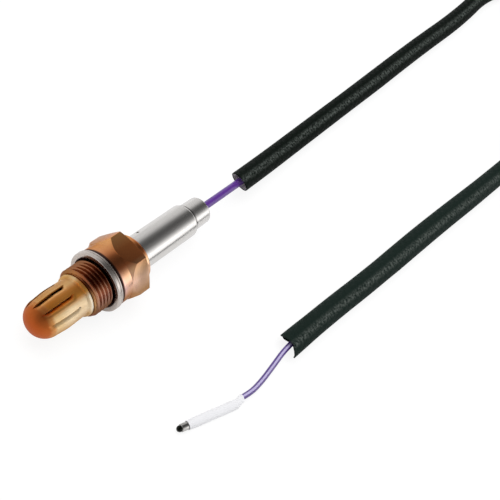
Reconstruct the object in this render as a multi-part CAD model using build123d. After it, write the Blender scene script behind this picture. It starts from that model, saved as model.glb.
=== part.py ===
"""Single-wire exhaust oxygen sensor (heaterless zirconia thimble type), lying at rest with its lead.

Row frame: +X runs from the louvred tip to the wire end, +Z is up, millimetres.
The origin is under the middle of the sensor body, on the surface that it lies on.
The body lies on one hexagon flat, so the flat opposite faces straight up.
"""
from build123d import *
from math import atan2, cos, pi, radians, sin, sqrt, tan
import os

# ---------------------------------------------------------------- driving dimensions
# Shell: a turned steel body with an M18 x 1.5 thread and a 22 mm wrench hexagon
THREAD_DIA = 18.0
THREAD_LEN = 7.3            # threaded stretch, nose chamfer included
NOSE_CHAMFER = 0.9
THREAD_RUNOUT = 0.6         # cone from the thread's outside down into the undercut
RELIEF_DIA = 16.2           # undercut behind the thread
RELIEF_LEN = 3.0            # undercut, from the last thread to the seat face
COLLAR_DIA = 22.0           # round collar that carries the seat face
COLLAR_LEN = 4.9
HEX_AF = 22.0
HEX_LEAD_IN = 2.7           # cone that turns the collar into the hexagon corners
HEX_CORNER_LEN = 4.5
HEX_REAR_CHAMFER = 0.8
HEX_REAR_FACE_DIA = 20.8    # turned rear face of the hexagon
CRIMP_WALL = 1.35           # rolled lip behind the hexagon, round the rear sleeve's flange
CRIMP_LEN = 4.1
CRIMP_MOUTH_WALL = 1.2      # the lip where it closes on the rear sleeve

# Louvred shield: a deep-drawn tube with a domed end and nine lanced louvres
SHIELD_DIA = 14.2
SHIELD_WALL = 0.6
DOME_DIA = 13.7             # tube at the root of the dome
DOME_CORNER = 6.3           # radius between the tube and the dome's end
DOME_CROWN = 8.0            # radius of the dome's end
DOME_TAPER_LEN = 3.5
SHIELD_TUBE_LEN = 19.3      # tip to the bead
BEAD_DIA = 15.8
BEAD_LEN = 1.5
SKIRT_LEN = 3.0             # stretch of tube pressed into the shell
LOUVRE_COUNT = 9
LOUVRE_START = 3.6          # from the tip
LOUVRE_END = 16.0
LOUVRE_WIDTH = 2.3          # across the lanced tab
LOUVRE_DEPTH = 1.35         # how far the tab's free edge is pushed in
LOUVRE_RAMP = 2.2           # length of the sloped ends of a tab
LOUVRE_FIRST_ANGLE = 59.5   # free edge of the first louvre, from +Y towards +Z

# Folded seat gasket
GASKET_FREE_PLAY = 0.3      # between the gasket's bore and the thread
GASKET_WIDTH = 2.05
GASKET_THICK = 2.4
GASKET_CORNER = 0.8
GASKET_SEAM = 0.35          # depth of the groove that the fold leaves round the rim

# Sensing element: a zirconia thimble with a supporting flange
ELEMENT_TIP_GAP = 2.2       # inside the dome, ahead of the element
ELEMENT_TIP_DIA = 5.8
ELEMENT_ROOT_DIA = 7.6
ELEMENT_FLANGE_PLAY = 0.4   # between the element's flange and the shell's bore
ELEMENT_FLANGE_LEN = 3.8
ELEMENT_REAR_DIA = 9.0
ELEMENT_REAR_LEN = 10.6
ELEMENT_BORE = 3.6
ELEMENT_TIP_WALL = 1.4

# Seals and insulators inside the shell
LEDGE_WIDTH = 1.1           # shell's ledge under the element's flange
REAR_BORE_STEP = 0.2        # shell's rear bore outside the rear sleeve's tube
WASHER_THICK = 0.5
TALC_LEN = 3.6
PACKING_RING_LEN = 1.2
RING_CLEARANCE = 0.1
BUSH_HEAD_LEN = 8.4
BUSH_PLAY = 0.15            # between the bush's body and the rear sleeve's bore
BUSH_BODY_LEN = 14.0
BUSH_CAVITY_DIA = 5.6
CAP_LEN = 17.0
CAP_BORE_DIA = 3.6

# Rear sleeve: a drawn stainless tube, stepped down to the grommet neck
SLEEVE_DIA = 12.8
SLEEVE_WALL = 0.45
SLEEVE_FLANGE_WIDTH = 1.4
SLEEVE_FLANGE_THICK = 0.9
NECK_STEP = 1.15            # height of the shoulder, from the tube down to the neck
SHOULDER_LAND = 0.1         # flat left inside the shoulder's outer radius
NECK_LEN = 8.5
NECK_END_RADIUS = 0.9
VENT_DIA = 1.0
VENT_FROM_FLANGE = 10.1
VENT_ANGLE = 41.0           # from +Y towards +Z
CRIMP_RING_LEN = 1.4

# Contacts
PIN_HEAD_DIA = 3.5
PIN_HEAD_LEN = 5.0
PIN_ROD_DIA = 1.6
FERRULE_DIA = 3.5
FERRULE_LEN = 30.0
FERRULE_SOCKET_LEN = 2.5
DISC_SPRING_HEIGHT = 0.9
DISC_SPRING_THICK = 0.35

# Grommet and lead
GROMMET_RECESS = 1.2        # dished middle of the grommet, below the neck's rolled edge
WIRE_DIA = 2.4
BRAID_DIA = 8.6
BRAID_BORE = 6.8
BRAID_CUT_ANGLE = 25.0      # scissors cut of the sensor end, off square
FISH_MOUTH_DEPTH = 3.5      # V cut of the terminal end

# Bullet terminal and its boot
BOOT_DIA = 3.6
BOOT_LEN = 19.5
BOOT_NECK_DIA = 3.1
BOOT_NECK_LEN = 3.2
BOOT_TURN = 13.9            # terminal's lie in plan, off the -X direction
BARREL_DIA = 2.8
BARREL_PROUD = 1.5
BULLET_DIA = 2.2
BULLET_LEN = 2.4

# ---------------------------------------------------------------- diameters that follow their neighbours
GASKET_ID = THREAD_DIA + 2 * GASKET_FREE_PLAY
GASKET_OD = GASKET_ID + 2 * GASKET_WIDTH
NECK_DIA = SLEEVE_DIA - 2 * NECK_STEP
SLEEVE_SHOULDER = NECK_STEP - SHOULDER_LAND
SLEEVE_FLANGE_DIA = SLEEVE_DIA + 2 * SLEEVE_FLANGE_WIDTH
SHELL_REAR_BORE = SLEEVE_DIA + 2 * REAR_BORE_STEP
CRIMP_DIA = SLEEVE_FLANGE_DIA + RING_CLEARANCE + 2 * CRIMP_WALL
CRIMP_MOUTH_DIA = SLEEVE_DIA + 2 * CRIMP_MOUTH_WALL
ELEMENT_FLANGE_DIA = SHELL_REAR_BORE - 2 * ELEMENT_FLANGE_PLAY
SHELL_FRONT_BORE = ELEMENT_FLANGE_DIA - 2 * LEDGE_WIDTH
BUSH_BODY_DIA = SLEEVE_DIA - 2 * (SLEEVE_WALL + BUSH_PLAY)

# ---------------------------------------------------------------- stations along the sensor, tip at 0
BEAD_REAR = SHIELD_TUBE_LEN + BEAD_LEN
NOSE = BEAD_REAR                          # front face of the shell
THREAD_END = NOSE + THREAD_LEN
SEAT = THREAD_END + RELIEF_LEN            # seat face of the collar
COLLAR_END = SEAT + COLLAR_LEN
CORNER_START = COLLAR_END + HEX_LEAD_IN
CORNER_END = CORNER_START + HEX_CORNER_LEN
HEX_END = CORNER_END + HEX_REAR_CHAMFER
CRIMP_END = HEX_END + CRIMP_LEN

SKIRT_END = NOSE + SKIRT_LEN
SHELL_LEDGE = SKIRT_END + 1.6             # ledge that carries the element's flange
FLANGE_START = SHELL_LEDGE + WASHER_THICK
FLANGE_END = FLANGE_START + ELEMENT_FLANGE_LEN
TALC_END = FLANGE_END + TALC_LEN
PACKING_END = TALC_END + PACKING_RING_LEN
BUSH_HEAD_END = PACKING_END + BUSH_HEAD_LEN
SLEEVE_SEAT = BUSH_HEAD_END               # front face of the sleeve's flange
BUSH_END = BUSH_HEAD_END + BUSH_BODY_LEN
CAP_END = BUSH_END + CAP_LEN
SPRING_END = CAP_END + DISC_SPRING_HEIGHT
ELEMENT_START = SHIELD_WALL + ELEMENT_TIP_GAP
ELEMENT_END = FLANGE_END + ELEMENT_REAR_LEN
STEP_IN = SPRING_END                      # inner face of the sleeve's shoulder
NECK_START = STEP_IN + SLEEVE_WALL
BODY_END = NECK_START + NECK_LEN

AXIS_HEIGHT = GASKET_OD / 2               # the gasket's rim touches the surface
ORIGIN_STATION = BODY_END / 2
RC = HEX_AF / sqrt(3)                     # hexagon corner radius


def placed(solid):
    """Move a piece from sensor stations (tip at x = 0, axis at z = 0) to the row frame."""
    return Pos(-ORIGIN_STATION, 0, AXIS_HEIGHT) * solid


def turned(points, radii=None):
    """Revolve a closed (station, radius) outline about the sensor's axis.

    points are the outline's corners; radii gives the fillet at each corner, 0 where it is sharp.
    """
    if radii:
        outline = FilletPolyline(*points, radius=radii, close=True)
    else:
        outline = Polyline(*points, close=True)
    return revolve(Plane.XZ * make_face(outline), Axis.X, 360)


def ring(start, end, inner, outer):
    """Plain ring between two stations, inner and outer being diameters."""
    return turned([(start, inner / 2), (end, inner / 2), (end, outer / 2), (start, outer / 2)])


def rod(start, end, dia):
    """Plain round bar between two stations."""
    return Pos((start + end) / 2, 0, 0) * Rot(0, 90, 0) * Cylinder(dia / 2, end - start)


# ---------------------------------------------------------------- louvred shield
def dome_outline(offset):
    """Dome and tube outline moved inwards by offset: crown arc, corner arc, taper, tube."""
    crown, corner = DOME_CROWN - offset, DOME_CORNER - offset
    root = DOME_DIA / 2 - DOME_CORNER                # corner arc's centre, off the axis
    reach = sqrt((DOME_CROWN - DOME_CORNER) ** 2 - root ** 2)
    crown_x = DOME_CROWN
    corner_x = crown_x - reach
    turn = atan2(root, reach)
    tangent = (crown_x - crown * cos(turn), crown * sin(turn))
    mid_turn = (turn + pi / 2) / 2
    corner_mid = (corner_x - corner * cos(mid_turn), root + corner * sin(mid_turn))
    root_point = (corner_x, DOME_DIA / 2 - offset)
    tip = (offset, 0)
    crown_mid = (crown_x - crown * cos(turn / 2), crown * sin(turn / 2))
    taper_end = (corner_x + DOME_TAPER_LEN, SHIELD_DIA / 2 - offset)
    return [
        ThreePointArc(tip, crown_mid, tangent),
        ThreePointArc(tangent, corner_mid, root_point),
        Line(root_point, taper_end),
    ], taper_end


def drawn_cup(offset, end):
    """Solid of revolution inside the shield's skin, moved inwards by offset, out to station end."""
    edges, last = dome_outline(offset)
    edges += [Line(last, (end, last[1])), Line((end, last[1]), (end, 0)), Line((end, 0), (offset, 0))]
    return revolve(Plane.XZ * make_face(edges), Axis.X, 360)


def louvre_wedge(drop, angle):
    """Wedge under one louvre: level with the skin at its hinge side, sunk at its free edge.

    drop moves the sloping faces inwards, which gives the tab its thickness.
    """
    top = SHIELD_DIA / 2 + 1.0
    skin = sqrt((SHIELD_DIA / 2) ** 2 - LOUVRE_WIDTH ** 2)     # skin height over the hinge
    floor = SHIELD_DIA / 2 - LOUVRE_DEPTH - drop
    start, end, hinge = LOUVRE_START - drop, LOUVRE_END + drop, LOUVRE_WIDTH + drop
    plan = [(start, 0), (end, 0), (end, hinge), (start, hinge)]
    rim = [(x, y, top) for x, y in plan]
    lip = [(x, y, skin - drop) for x, y in plan]
    keel = [(start + LOUVRE_RAMP, 0, floor), (end - LOUVRE_RAMP, 0, floor)]
    faces = [
        rim,
        [rim[0], rim[1], lip[1], keel[1], keel[0], lip[0]],
        [rim[1], rim[2], lip[2], lip[1]],
        [rim[2], rim[3], lip[3], lip[2]],
        [rim[3], rim[0], lip[0], lip[3]],
        [lip[0], keel[0], lip[3]],
        [lip[1], lip[2], keel[1]],
        [keel[0], keel[1], lip[2], lip[3]],
    ]
    wedge = Solid(Shell([Face(Wire.make_polygon([Vector(*p) for p in f], close=True)) for f in faces]))
    return Rot(angle - 90, 0, 0) * wedge


def louvre_shield():
    """Drawn shield: domed tube, bead and press-in skirt, with lanced louvres round the tube."""
    skin = drawn_cup(0, SKIRT_END)
    bead = turned(
        [(SHIELD_TUBE_LEN, 0), (BEAD_REAR, 0), (BEAD_REAR, BEAD_DIA / 2), (SHIELD_TUBE_LEN, BEAD_DIA / 2)],
        [0, 0, 0, 0.5],
    )
    hollow = drawn_cup(SHIELD_WALL, SKIRT_END + 1)
    shield = skin - hollow
    tabs = []
    for index in range(LOUVRE_COUNT):
        angle = LOUVRE_FIRST_ANGLE + index * 360 / LOUVRE_COUNT
        pocket = louvre_wedge(0, angle)
        tabs.append((louvre_wedge(SHIELD_WALL, angle) & skin) - pocket)
        shield -= pocket
    for tab in tabs:
        shield += tab
    return shield + (bead - drawn_cup(SHIELD_WALL / 2, SKIRT_END + 1))


# ---------------------------------------------------------------- shell
def shell():
    """Turned shell: threaded nose, relief, seat collar, hexagon and rolled rear lip, bored through."""
    thread = THREAD_DIA / 2
    lip = CRIMP_DIA / 2
    lip_start = SLEEVE_SEAT + SLEEVE_FLANGE_THICK + CRIMP_RING_LEN
    outside = turned(
        [
            (NOSE, 0), (NOSE, thread - NOSE_CHAMFER), (NOSE + NOSE_CHAMFER, thread),
            (THREAD_END, thread), (THREAD_END + THREAD_RUNOUT, RELIEF_DIA / 2), (SEAT, RELIEF_DIA / 2),
            (SEAT, COLLAR_DIA / 2), (COLLAR_END, COLLAR_DIA / 2), (CORNER_START, RC), (CORNER_END, RC),
            (HEX_END, HEX_REAR_FACE_DIA / 2), (HEX_END, lip), (CRIMP_END, CRIMP_MOUTH_DIA / 2),
            (CRIMP_END, 0),
        ],
        [0, 0, 0, 0, 0, 0.3, 0.3, 0, 0, 0, 0, 0, 0.4, 0],
    )
    prism = Pos(COLLAR_END - 3, 0, 0) * Rot(0, 90, 0) * extrude(
        RegularPolygon(RC, 6, rotation=30), HEX_END - COLLAR_END + 3
    )
    round_parts = rod(NOSE, COLLAR_END, COLLAR_DIA) + rod(HEX_END - 0.01, CRIMP_END, CRIMP_DIA + 2)
    body = outside & (prism + round_parts)
    bores = (
        rod(NOSE - 1, SKIRT_END, SHIELD_DIA)
        + rod(SKIRT_END - 1, SHELL_LEDGE + 1, SHELL_FRONT_BORE)
        + rod(SHELL_LEDGE, SLEEVE_SEAT + 1, SHELL_REAR_BORE)
        + rod(SLEEVE_SEAT, lip_start, SLEEVE_FLANGE_DIA + RING_CLEARANCE)
        + rod(lip_start - 1, CRIMP_END + 1, SLEEVE_DIA + RING_CLEARANCE)
    )
    return body - bores


# ---------------------------------------------------------------- seals, element and insulators
def seat_gasket():
    """Folded sealing ring: rounded rims and the seam of the fold round its edge."""
    start, end = SEAT - GASKET_THICK, SEAT
    inner, outer = GASKET_ID / 2, GASKET_OD / 2
    body = turned(
        [(start, inner), (end, inner), (end, outer), (start, outer)],
        [0.3, 0.3, 0.5, GASKET_CORNER],
    )
    seam = start + 0.6 * GASKET_THICK
    groove = turned([
        (seam - 0.15, outer - GASKET_SEAM), (seam + 0.15, outer - GASKET_SEAM),
        (seam + 0.25, outer + 1), (seam - 0.25, outer + 1),
    ])
    return body - groove


def sensing_element():
    """Zirconia thimble: closed round tip, tapered shank, supporting flange and open rear."""
    tip, root = ELEMENT_TIP_DIA / 2, ELEMENT_ROOT_DIA / 2
    flange, rear = ELEMENT_FLANGE_DIA / 2, ELEMENT_REAR_DIA / 2
    body = turned(
        [(ELEMENT_START, 0), (ELEMENT_START, tip), (FLANGE_START - 1, root), (FLANGE_START, root),
         (FLANGE_START, flange), (FLANGE_END, flange), (FLANGE_END, rear), (ELEMENT_END, rear),
         (ELEMENT_END, 0)],
        [0, tip * 0.9, 0.5, 0, 0.4, 0.6, 0, 0.3, 0],
    )
    bore_start = ELEMENT_START + ELEMENT_TIP_WALL
    bore = ELEMENT_BORE / 2
    hollow = turned(
        [(bore_start, 0), (bore_start, bore), (ELEMENT_END + 1, bore), (ELEMENT_END + 1, 0)],
        [0, bore * 0.9, 0, 0],
    )
    return body - hollow


def insulator_bush():
    """Ceramic bush round the element's rear: wide head under the sleeve's flange, long body behind."""
    body = turned(
        [(PACKING_END, 0), (PACKING_END, SHELL_REAR_BORE / 2 - RING_CLEARANCE / 2),
         (BUSH_HEAD_END, SHELL_REAR_BORE / 2 - RING_CLEARANCE / 2), (BUSH_HEAD_END, BUSH_BODY_DIA / 2),
         (BUSH_END, BUSH_BODY_DIA / 2), (BUSH_END, 0)],
        [0, 0.3, 0, 0, 0.4, 0],
    )
    return body - rod(PACKING_END - 1, ELEMENT_END + 0.2, ELEMENT_REAR_DIA + RING_CLEARANCE) - rod(
        ELEMENT_END, BUSH_END + 1, BUSH_CAVITY_DIA
    )


def insulator_cap():
    """Rear ceramic cap that holds the wire ferrule on the axis."""
    return turned(
        [(BUSH_END, CAP_BORE_DIA / 2), (CAP_END, CAP_BORE_DIA / 2), (CAP_END, BUSH_BODY_DIA / 2),
         (BUSH_END, BUSH_BODY_DIA / 2)],
        [0, 0.3, 0.8, 0.3],
    )


def disc_spring():
    """Coned disc spring between the rear cap and the sleeve's shoulder."""
    inner, outer = CAP_BORE_DIA / 2 + 0.6, BUSH_BODY_DIA / 2 - 0.4
    thick = DISC_SPRING_THICK
    return turned([
        (CAP_END, inner), (CAP_END + thick, inner), (SPRING_END, outer), (SPRING_END - thick, outer),
    ])


# ---------------------------------------------------------------- rear sleeve and its contents
def rear_sleeve():
    """Drawn sleeve: clamped flange, plain tube, rounded shoulder and the crimped grommet neck."""
    tube, neck, wall = SLEEVE_DIA / 2, NECK_DIA / 2, SLEEVE_WALL
    flange = SLEEVE_FLANGE_DIA / 2
    outside = turned(
        [(SLEEVE_SEAT, 0), (SLEEVE_SEAT, flange), (SLEEVE_SEAT + SLEEVE_FLANGE_THICK, flange),
         (SLEEVE_SEAT + SLEEVE_FLANGE_THICK, tube), (NECK_START, tube), (NECK_START, neck),
         (BODY_END, neck), (BODY_END, 0)],
        [0, 0.2, 0.2, 0, SLEEVE_SHOULDER, 0, NECK_END_RADIUS, 0],
    )
    inside = turned(
        [(SLEEVE_SEAT - 1, 0), (SLEEVE_SEAT - 1, tube - wall), (STEP_IN, tube - wall), (STEP_IN, neck - wall),
         (BODY_END - wall, neck - wall), (BODY_END - wall, neck - wall - NECK_END_RADIUS),
         (BODY_END + 1, neck - wall - NECK_END_RADIUS), (BODY_END + 1, 0)],
    )
    drill = Pos(SLEEVE_SEAT + VENT_FROM_FLANGE, 0, tube - 1) * Cylinder(VENT_DIA / 2, 4)
    return outside - inside - Rot(VENT_ANGLE - 90, 0, 0) * drill


def cable_grommet():
    """Moulded seal in the neck: it fills the neck and grips the wire."""
    outer = NECK_DIA / 2 - SLEEVE_WALL - RING_CLEARANCE / 2
    front = NECK_START + 0.2
    rear = BODY_END - SLEEVE_WALL - RING_CLEARANCE / 2
    dish = BODY_END - GROMMET_RECESS
    return turned([
        (front, WIRE_DIA / 2), (dish, WIRE_DIA / 2), (dish, outer - NECK_END_RADIUS - 0.35),
        (rear, outer), (front, outer),
    ])


PIN_HEAD_END = ELEMENT_END + 1.0
FERRULE_START = PIN_HEAD_END
FERRULE_END = FERRULE_START + FERRULE_LEN
WIRE_START = FERRULE_END - FERRULE_SOCKET_LEN


def contact_pin():
    """Turned contact pressed into the element's bore, with a long rod down to its tip."""
    rod_start = ELEMENT_START + ELEMENT_TIP_WALL + 2.0
    head_start = PIN_HEAD_END - PIN_HEAD_LEN
    return turned(
        [(rod_start, 0), (rod_start, PIN_ROD_DIA / 2), (head_start, PIN_ROD_DIA / 2),
         (head_start + 0.8, PIN_HEAD_DIA / 2), (PIN_HEAD_END, PIN_HEAD_DIA / 2), (PIN_HEAD_END, 0)],
        [0, 0.5, 0, 0, 0, 0],
    )


def wire_ferrule():
    """Crimp ferrule between the contact and the wire, open to the rear."""
    dia = FERRULE_DIA / 2
    return turned(
        [(FERRULE_START, 0), (FERRULE_START, dia), (FERRULE_END, dia), (FERRULE_END, WIRE_DIA / 2),
         (WIRE_START, WIRE_DIA / 2), (WIRE_START, 0)],
        [0, 0.4, 0.2, 0, 0, 0],
    )


# ---------------------------------------------------------------- lead
def arc_radii(points):
    """Tangent-arc radius at each inner point: 0.45 of the shorter run over the tangent of half the turn."""
    radii = []
    for before, here, after in zip(points, points[1:], points[2:]):
        run_in, run_out = Vector(*here) - Vector(*before), Vector(*after) - Vector(*here)
        turn = radians(run_in.get_angle(run_out))
        radii.append(0.45 * min(run_in.length, run_out.length) / tan(turn / 2))
    return radii


def tube_along(name, points, dia):
    """Round solid swept along straight runs and tangent arcs, with its radii and volume printed."""
    radii = arc_radii(points)
    path = FilletPolyline(*points, radius=radii)
    start = Plane(path @ 0, z_dir=path % 0)
    solid = sweep(start * Circle(dia / 2), path=path)
    ideal = pi * dia ** 2 / 4 * path.length
    print(f"{name}: length {path.length:.1f}, volume {solid.volume / ideal:.4f} of ideal, radii",
          " ".join(f"{r:.0f}" for r in radii))
    return solid


# The routes' points are (x, y, z) in the row frame; the lead lies on the surface z = 0.
# Each wire ends on the braid's axis, on the blind face inside the braid's open end.
NEAR_WIRE_ROUTE = [
    (WIRE_START - ORIGIN_STATION, 0.0, AXIS_HEIGHT),
    (51.0, 0.0, AXIS_HEIGHT),
    (75.2, 1.30, 7.30),
]
BRAID_ROUTE = [
    (66.4, 0.83, 8.77),
    (86.7, 1.92, 5.37),
    (122.0, 3.2, 4.35),
    (170.0, 4.2, 4.35),
    (222.0, 5.9, 4.35),
    (268.0, 6.9, 4.35),
    (306.0, 12.0, 4.35),
    (340.0, 3.0, 4.35),
    (359.0, -26.0, 4.35),
    (350.0, -60.0, 4.35),
    (318.0, -79.0, 4.35),
    (276.0, -76.0, 4.35),
    (228.0, -67.6, 4.35),
    (178.0, -65.9, 4.35),
    (130.0, -62.9, 4.35),
    (86.0, -61.4, 4.35),
    (54.0, -59.3, 4.35),
    (30.2, -58.5, 4.35),
]
FAR_WIRE_ROUTE = [
    (38.5, -58.78, 4.35),
    (30.5, -58.51, 4.35),
    (20.5, -60.2, 2.2),
    (13.5, -61.2, 1.35),
    (6.3, -61.44, 1.8),
    (-0.2, -59.83, 1.8),
]

WIRE_END = Vector(*FAR_WIRE_ROUTE[-1])
BOOT_AXIS = Vector(-cos(radians(BOOT_TURN)), sin(radians(BOOT_TURN)), 0)


def on_boot(solid):
    """Move a piece from the terminal's own stations (boot's rear face at x = 0) to the row frame."""
    start = WIRE_END - BOOT_AXIS * BOOT_NECK_LEN
    return Plane(start, x_dir=BOOT_AXIS, z_dir=(0, 0, 1)) * solid


def open_end(route, depth):
    """Bore that opens one end of the braid, route being its points from that end inwards."""
    start, after = Vector(*route[0]), Vector(*route[1])
    along = (after - start).normalized()
    bore = Pos(0, 0, (depth + 1) / 2) * Cylinder(BRAID_BORE / 2, depth + 1)
    return Plane(start - along, z_dir=along) * bore


def slanted_cut(route, angle):
    """Block that trims the braid's end on a slant, so that the top overhangs the bottom."""
    start, after = Vector(*route[0]), Vector(*route[1])
    along = (after - start).normalized()
    slope = radians(angle)
    pivot = start + along * (BRAID_DIA / 2 * tan(slope))
    normal = along * cos(slope) + Vector(0, 0, 1) * sin(slope)
    block = Pos(0, 0, -BRAID_DIA) * Box(4 * BRAID_DIA, 4 * BRAID_DIA, 2 * BRAID_DIA)
    return Plane(pivot, z_dir=normal) * block


def fish_mouth(route, depth):
    """Wedge that cuts the braid's end to a V, seen from above."""
    start, after = Vector(*route[0]), Vector(*route[1])
    along = (after - start).normalized()
    half = BRAID_DIA / 2
    vee = Polyline((-1, half), (depth, 0), (-1, -half), close=True)
    frame = Plane(start - Vector(0, 0, BRAID_DIA), x_dir=along, z_dir=(0, 0, 1))
    return frame * extrude(make_face(vee), 2 * BRAID_DIA)


def woven_sleeve():
    """Braided sleeve over the wire: open at both ends, cut on the slant and to a fish mouth."""
    from_terminal = BRAID_ROUTE[::-1]
    tube = tube_along("woven_sleeve", BRAID_ROUTE, BRAID_DIA)
    near_depth = (Vector(*NEAR_WIRE_ROUTE[-1]) - Vector(*BRAID_ROUTE[0])).length
    far_depth = (Vector(*FAR_WIRE_ROUTE[0]) - Vector(*from_terminal[0])).length
    tube -= open_end(BRAID_ROUTE, near_depth) + open_end(from_terminal, far_depth)
    tube -= slanted_cut(BRAID_ROUTE, BRAID_CUT_ANGLE)
    return tube - fish_mouth(from_terminal, FISH_MOUTH_DEPTH)


def terminal_boot():
    """Moulded boot: slim wire neck and a plain round body over the terminal's barrel."""
    total = BOOT_NECK_LEN + BOOT_LEN
    neck, body = BOOT_NECK_DIA / 2, BOOT_DIA / 2
    return turned(
        [(0, WIRE_DIA / 2), (0, neck), (BOOT_NECK_LEN, neck), (BOOT_NECK_LEN, body), (total, body),
         (total, BARREL_DIA / 2), (BOOT_NECK_LEN, BARREL_DIA / 2), (BOOT_NECK_LEN, WIRE_DIA / 2)],
        [0, 0.1, 0, 0.25, 0.1, 0, 0, 0],
    )


def bullet_terminal():
    """Crimped bullet terminal: long barrel in the boot and a round-nosed pin at its end."""
    start = BOOT_NECK_LEN
    face = start + BOOT_LEN + BARREL_PROUD
    nose = BULLET_DIA / 2
    return turned(
        [(start, 0), (start, BARREL_DIA / 2), (face, BARREL_DIA / 2), (face, nose),
         (face + BULLET_LEN, nose), (face + BULLET_LEN, 0)],
        [0, 0, 0.25, 0, nose * 0.8, 0],
    )


# ---------------------------------------------------------------- build
def make_parts():
    """Every piece of the sensor by its node name, in the row frame."""
    rear_bore = SHELL_REAR_BORE - RING_CLEARANCE
    flange_rear = SLEEVE_SEAT + SLEEVE_FLANGE_THICK
    on_axis = {
        "louvre_shield": louvre_shield(),
        "shell": shell(),
        "seat_gasket": seat_gasket(),
        "sensing_element": sensing_element(),
        "element_seat_washer": ring(SHELL_LEDGE, FLANGE_START, SHELL_FRONT_BORE, ELEMENT_FLANGE_DIA),
        "talc_packing": ring(FLANGE_END, TALC_END, ELEMENT_REAR_DIA, rear_bore),
        "packing_ring": ring(TALC_END, PACKING_END, ELEMENT_REAR_DIA + RING_CLEARANCE, rear_bore),
        "insulator_bush": insulator_bush(),
        "insulator_cap": insulator_cap(),
        "disc_spring": disc_spring(),
        "crimp_ring": ring(
            flange_rear, flange_rear + CRIMP_RING_LEN, SLEEVE_DIA + RING_CLEARANCE, SLEEVE_FLANGE_DIA
        ),
        "rear_sleeve": rear_sleeve(),
        "cable_grommet": cable_grommet(),
        "contact_pin": contact_pin(),
        "wire_ferrule": wire_ferrule(),
    }
    parts = {name: placed(solid) for name, solid in on_axis.items()}
    parts["lead_wire"] = tube_along("lead_wire", NEAR_WIRE_ROUTE, WIRE_DIA)
    parts["woven_sleeve"] = woven_sleeve()
    parts["lead_wire_end"] = tube_along("lead_wire_end", FAR_WIRE_ROUTE, WIRE_DIA)
    parts["terminal_boot"] = on_boot(terminal_boot())
    parts["bullet_terminal"] = on_boot(bullet_terminal())
    return parts


os.makedirs("parts", exist_ok=True)
for node, solid in make_parts().items():
    export_step(solid, os.path.join("parts", node + ".step"))
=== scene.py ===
"""Studio scene of a single-wire, heaterless exhaust oxygen sensor that lies on a white table.

The sensor's and the terminal's sizes are in millimetres along their own stations until a mesh is made;
the sensor's start at its louvred tip. Meshes, the lead's sizes and routes, and the camera are in metres,
in the row frame.
"""

import logging
import math
from dataclasses import dataclass, field
from enum import Enum
from typing import Any, Callable, Iterable, Sequence

import bmesh
import bpy
from mathutils import Matrix, Vector


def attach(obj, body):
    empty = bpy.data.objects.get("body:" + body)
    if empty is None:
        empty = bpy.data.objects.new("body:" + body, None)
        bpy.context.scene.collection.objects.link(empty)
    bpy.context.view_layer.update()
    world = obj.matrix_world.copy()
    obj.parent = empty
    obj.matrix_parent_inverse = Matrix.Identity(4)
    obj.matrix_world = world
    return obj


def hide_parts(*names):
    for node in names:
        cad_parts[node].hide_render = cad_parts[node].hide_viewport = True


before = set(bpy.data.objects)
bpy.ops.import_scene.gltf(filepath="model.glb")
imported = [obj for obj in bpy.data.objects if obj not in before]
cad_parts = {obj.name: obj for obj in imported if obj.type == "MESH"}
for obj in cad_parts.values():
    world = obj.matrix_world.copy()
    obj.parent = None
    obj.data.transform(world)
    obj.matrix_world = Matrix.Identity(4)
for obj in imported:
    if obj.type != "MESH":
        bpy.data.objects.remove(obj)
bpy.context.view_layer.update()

MM = 0.001
ORIGIN_STATION = 41.875      # station that lies over the row's origin
AXIS_HEIGHT = 11.35          # the sensor's axis above the table
BODY_PLACE = Matrix.Translation((-ORIGIN_STATION * MM, 0.0, AXIS_HEIGHT * MM))

log = logging.getLogger("oxygen_sensor")

# A Mix node's numbers for the two colours that it takes, for the one that it gives, and for plain values
MIX_UNDER, MIX_OVER, MIX_RESULT = 6, 7, 2
MIX_FIRST_VALUE, MIX_SECOND_VALUE = 2, 3
FILLET_SHARE = 0.49          # the most of a side that a fillet may take

Outline = list[tuple[float, float]]
Corner = tuple[float, float, float]


# ------------------------------------------------------------------ small tools
def linear(hex_colour: str) -> tuple[float, float, float, float]:
    """Turn an sRGB hex colour into linear values.

    Args:
        hex_colour: six hex digits after a hash sign.

    Returns:
        Linear red, green and blue, and full opacity.
    """
    parts = [int(hex_colour[i:i + 2], 16) / 255 for i in (1, 3, 5)]
    red, green, blue = (c / 12.92 if c <= 0.04045 else ((c + 0.055) / 1.055) ** 2.4 for c in parts)
    return red, green, blue, 1.0


def grey(level: float) -> tuple[float, float, float, float]:
    """Linear grey of a level, 0 to 1."""
    return level, level, level, 1.0


def station_x(station: float) -> float:
    """Where a station in millimetres lies along the row frame's X, in metres."""
    return (station - ORIGIN_STATION) * MM


def add_node(tree: bpy.types.NodeTree, kind: str, inputs: dict[Any, Any] | None = None,
             **settings: Any) -> bpy.types.Node:
    """Add a node with its settings and what its inputs are fed by.

    Args:
        tree: the node tree.
        kind: the node's type.
        inputs: input name or number to a value, a socket, or a node whose first output feeds it.
        settings: the node's own properties.

    Returns:
        The new node.
    """
    node = tree.nodes.new(kind)
    for key, value in settings.items():
        setattr(node, key, value)
    for key, value in (inputs or {}).items():
        source = value.outputs[0] if isinstance(value, bpy.types.Node) else value
        if isinstance(source, bpy.types.NodeSocket):
            tree.links.new(source, node.inputs[key])
        else:
            node.inputs[key].default_value = source
    return node


def fill_ramp(ramp: bpy.types.ColorRamp, stops: Iterable[tuple[float, tuple[float, ...]]]) -> None:
    """Set the stops of a new colour ramp, which starts with two.

    Args:
        ramp: the ramp.
        stops: (place from 0 to 1, linear colour) pairs in rising order of place.
    """
    for index, (place, colour) in enumerate(stops):
        stop = ramp.elements[index] if index < 2 else ramp.elements.new(place)
        stop.position = place
        stop.color = colour


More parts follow.
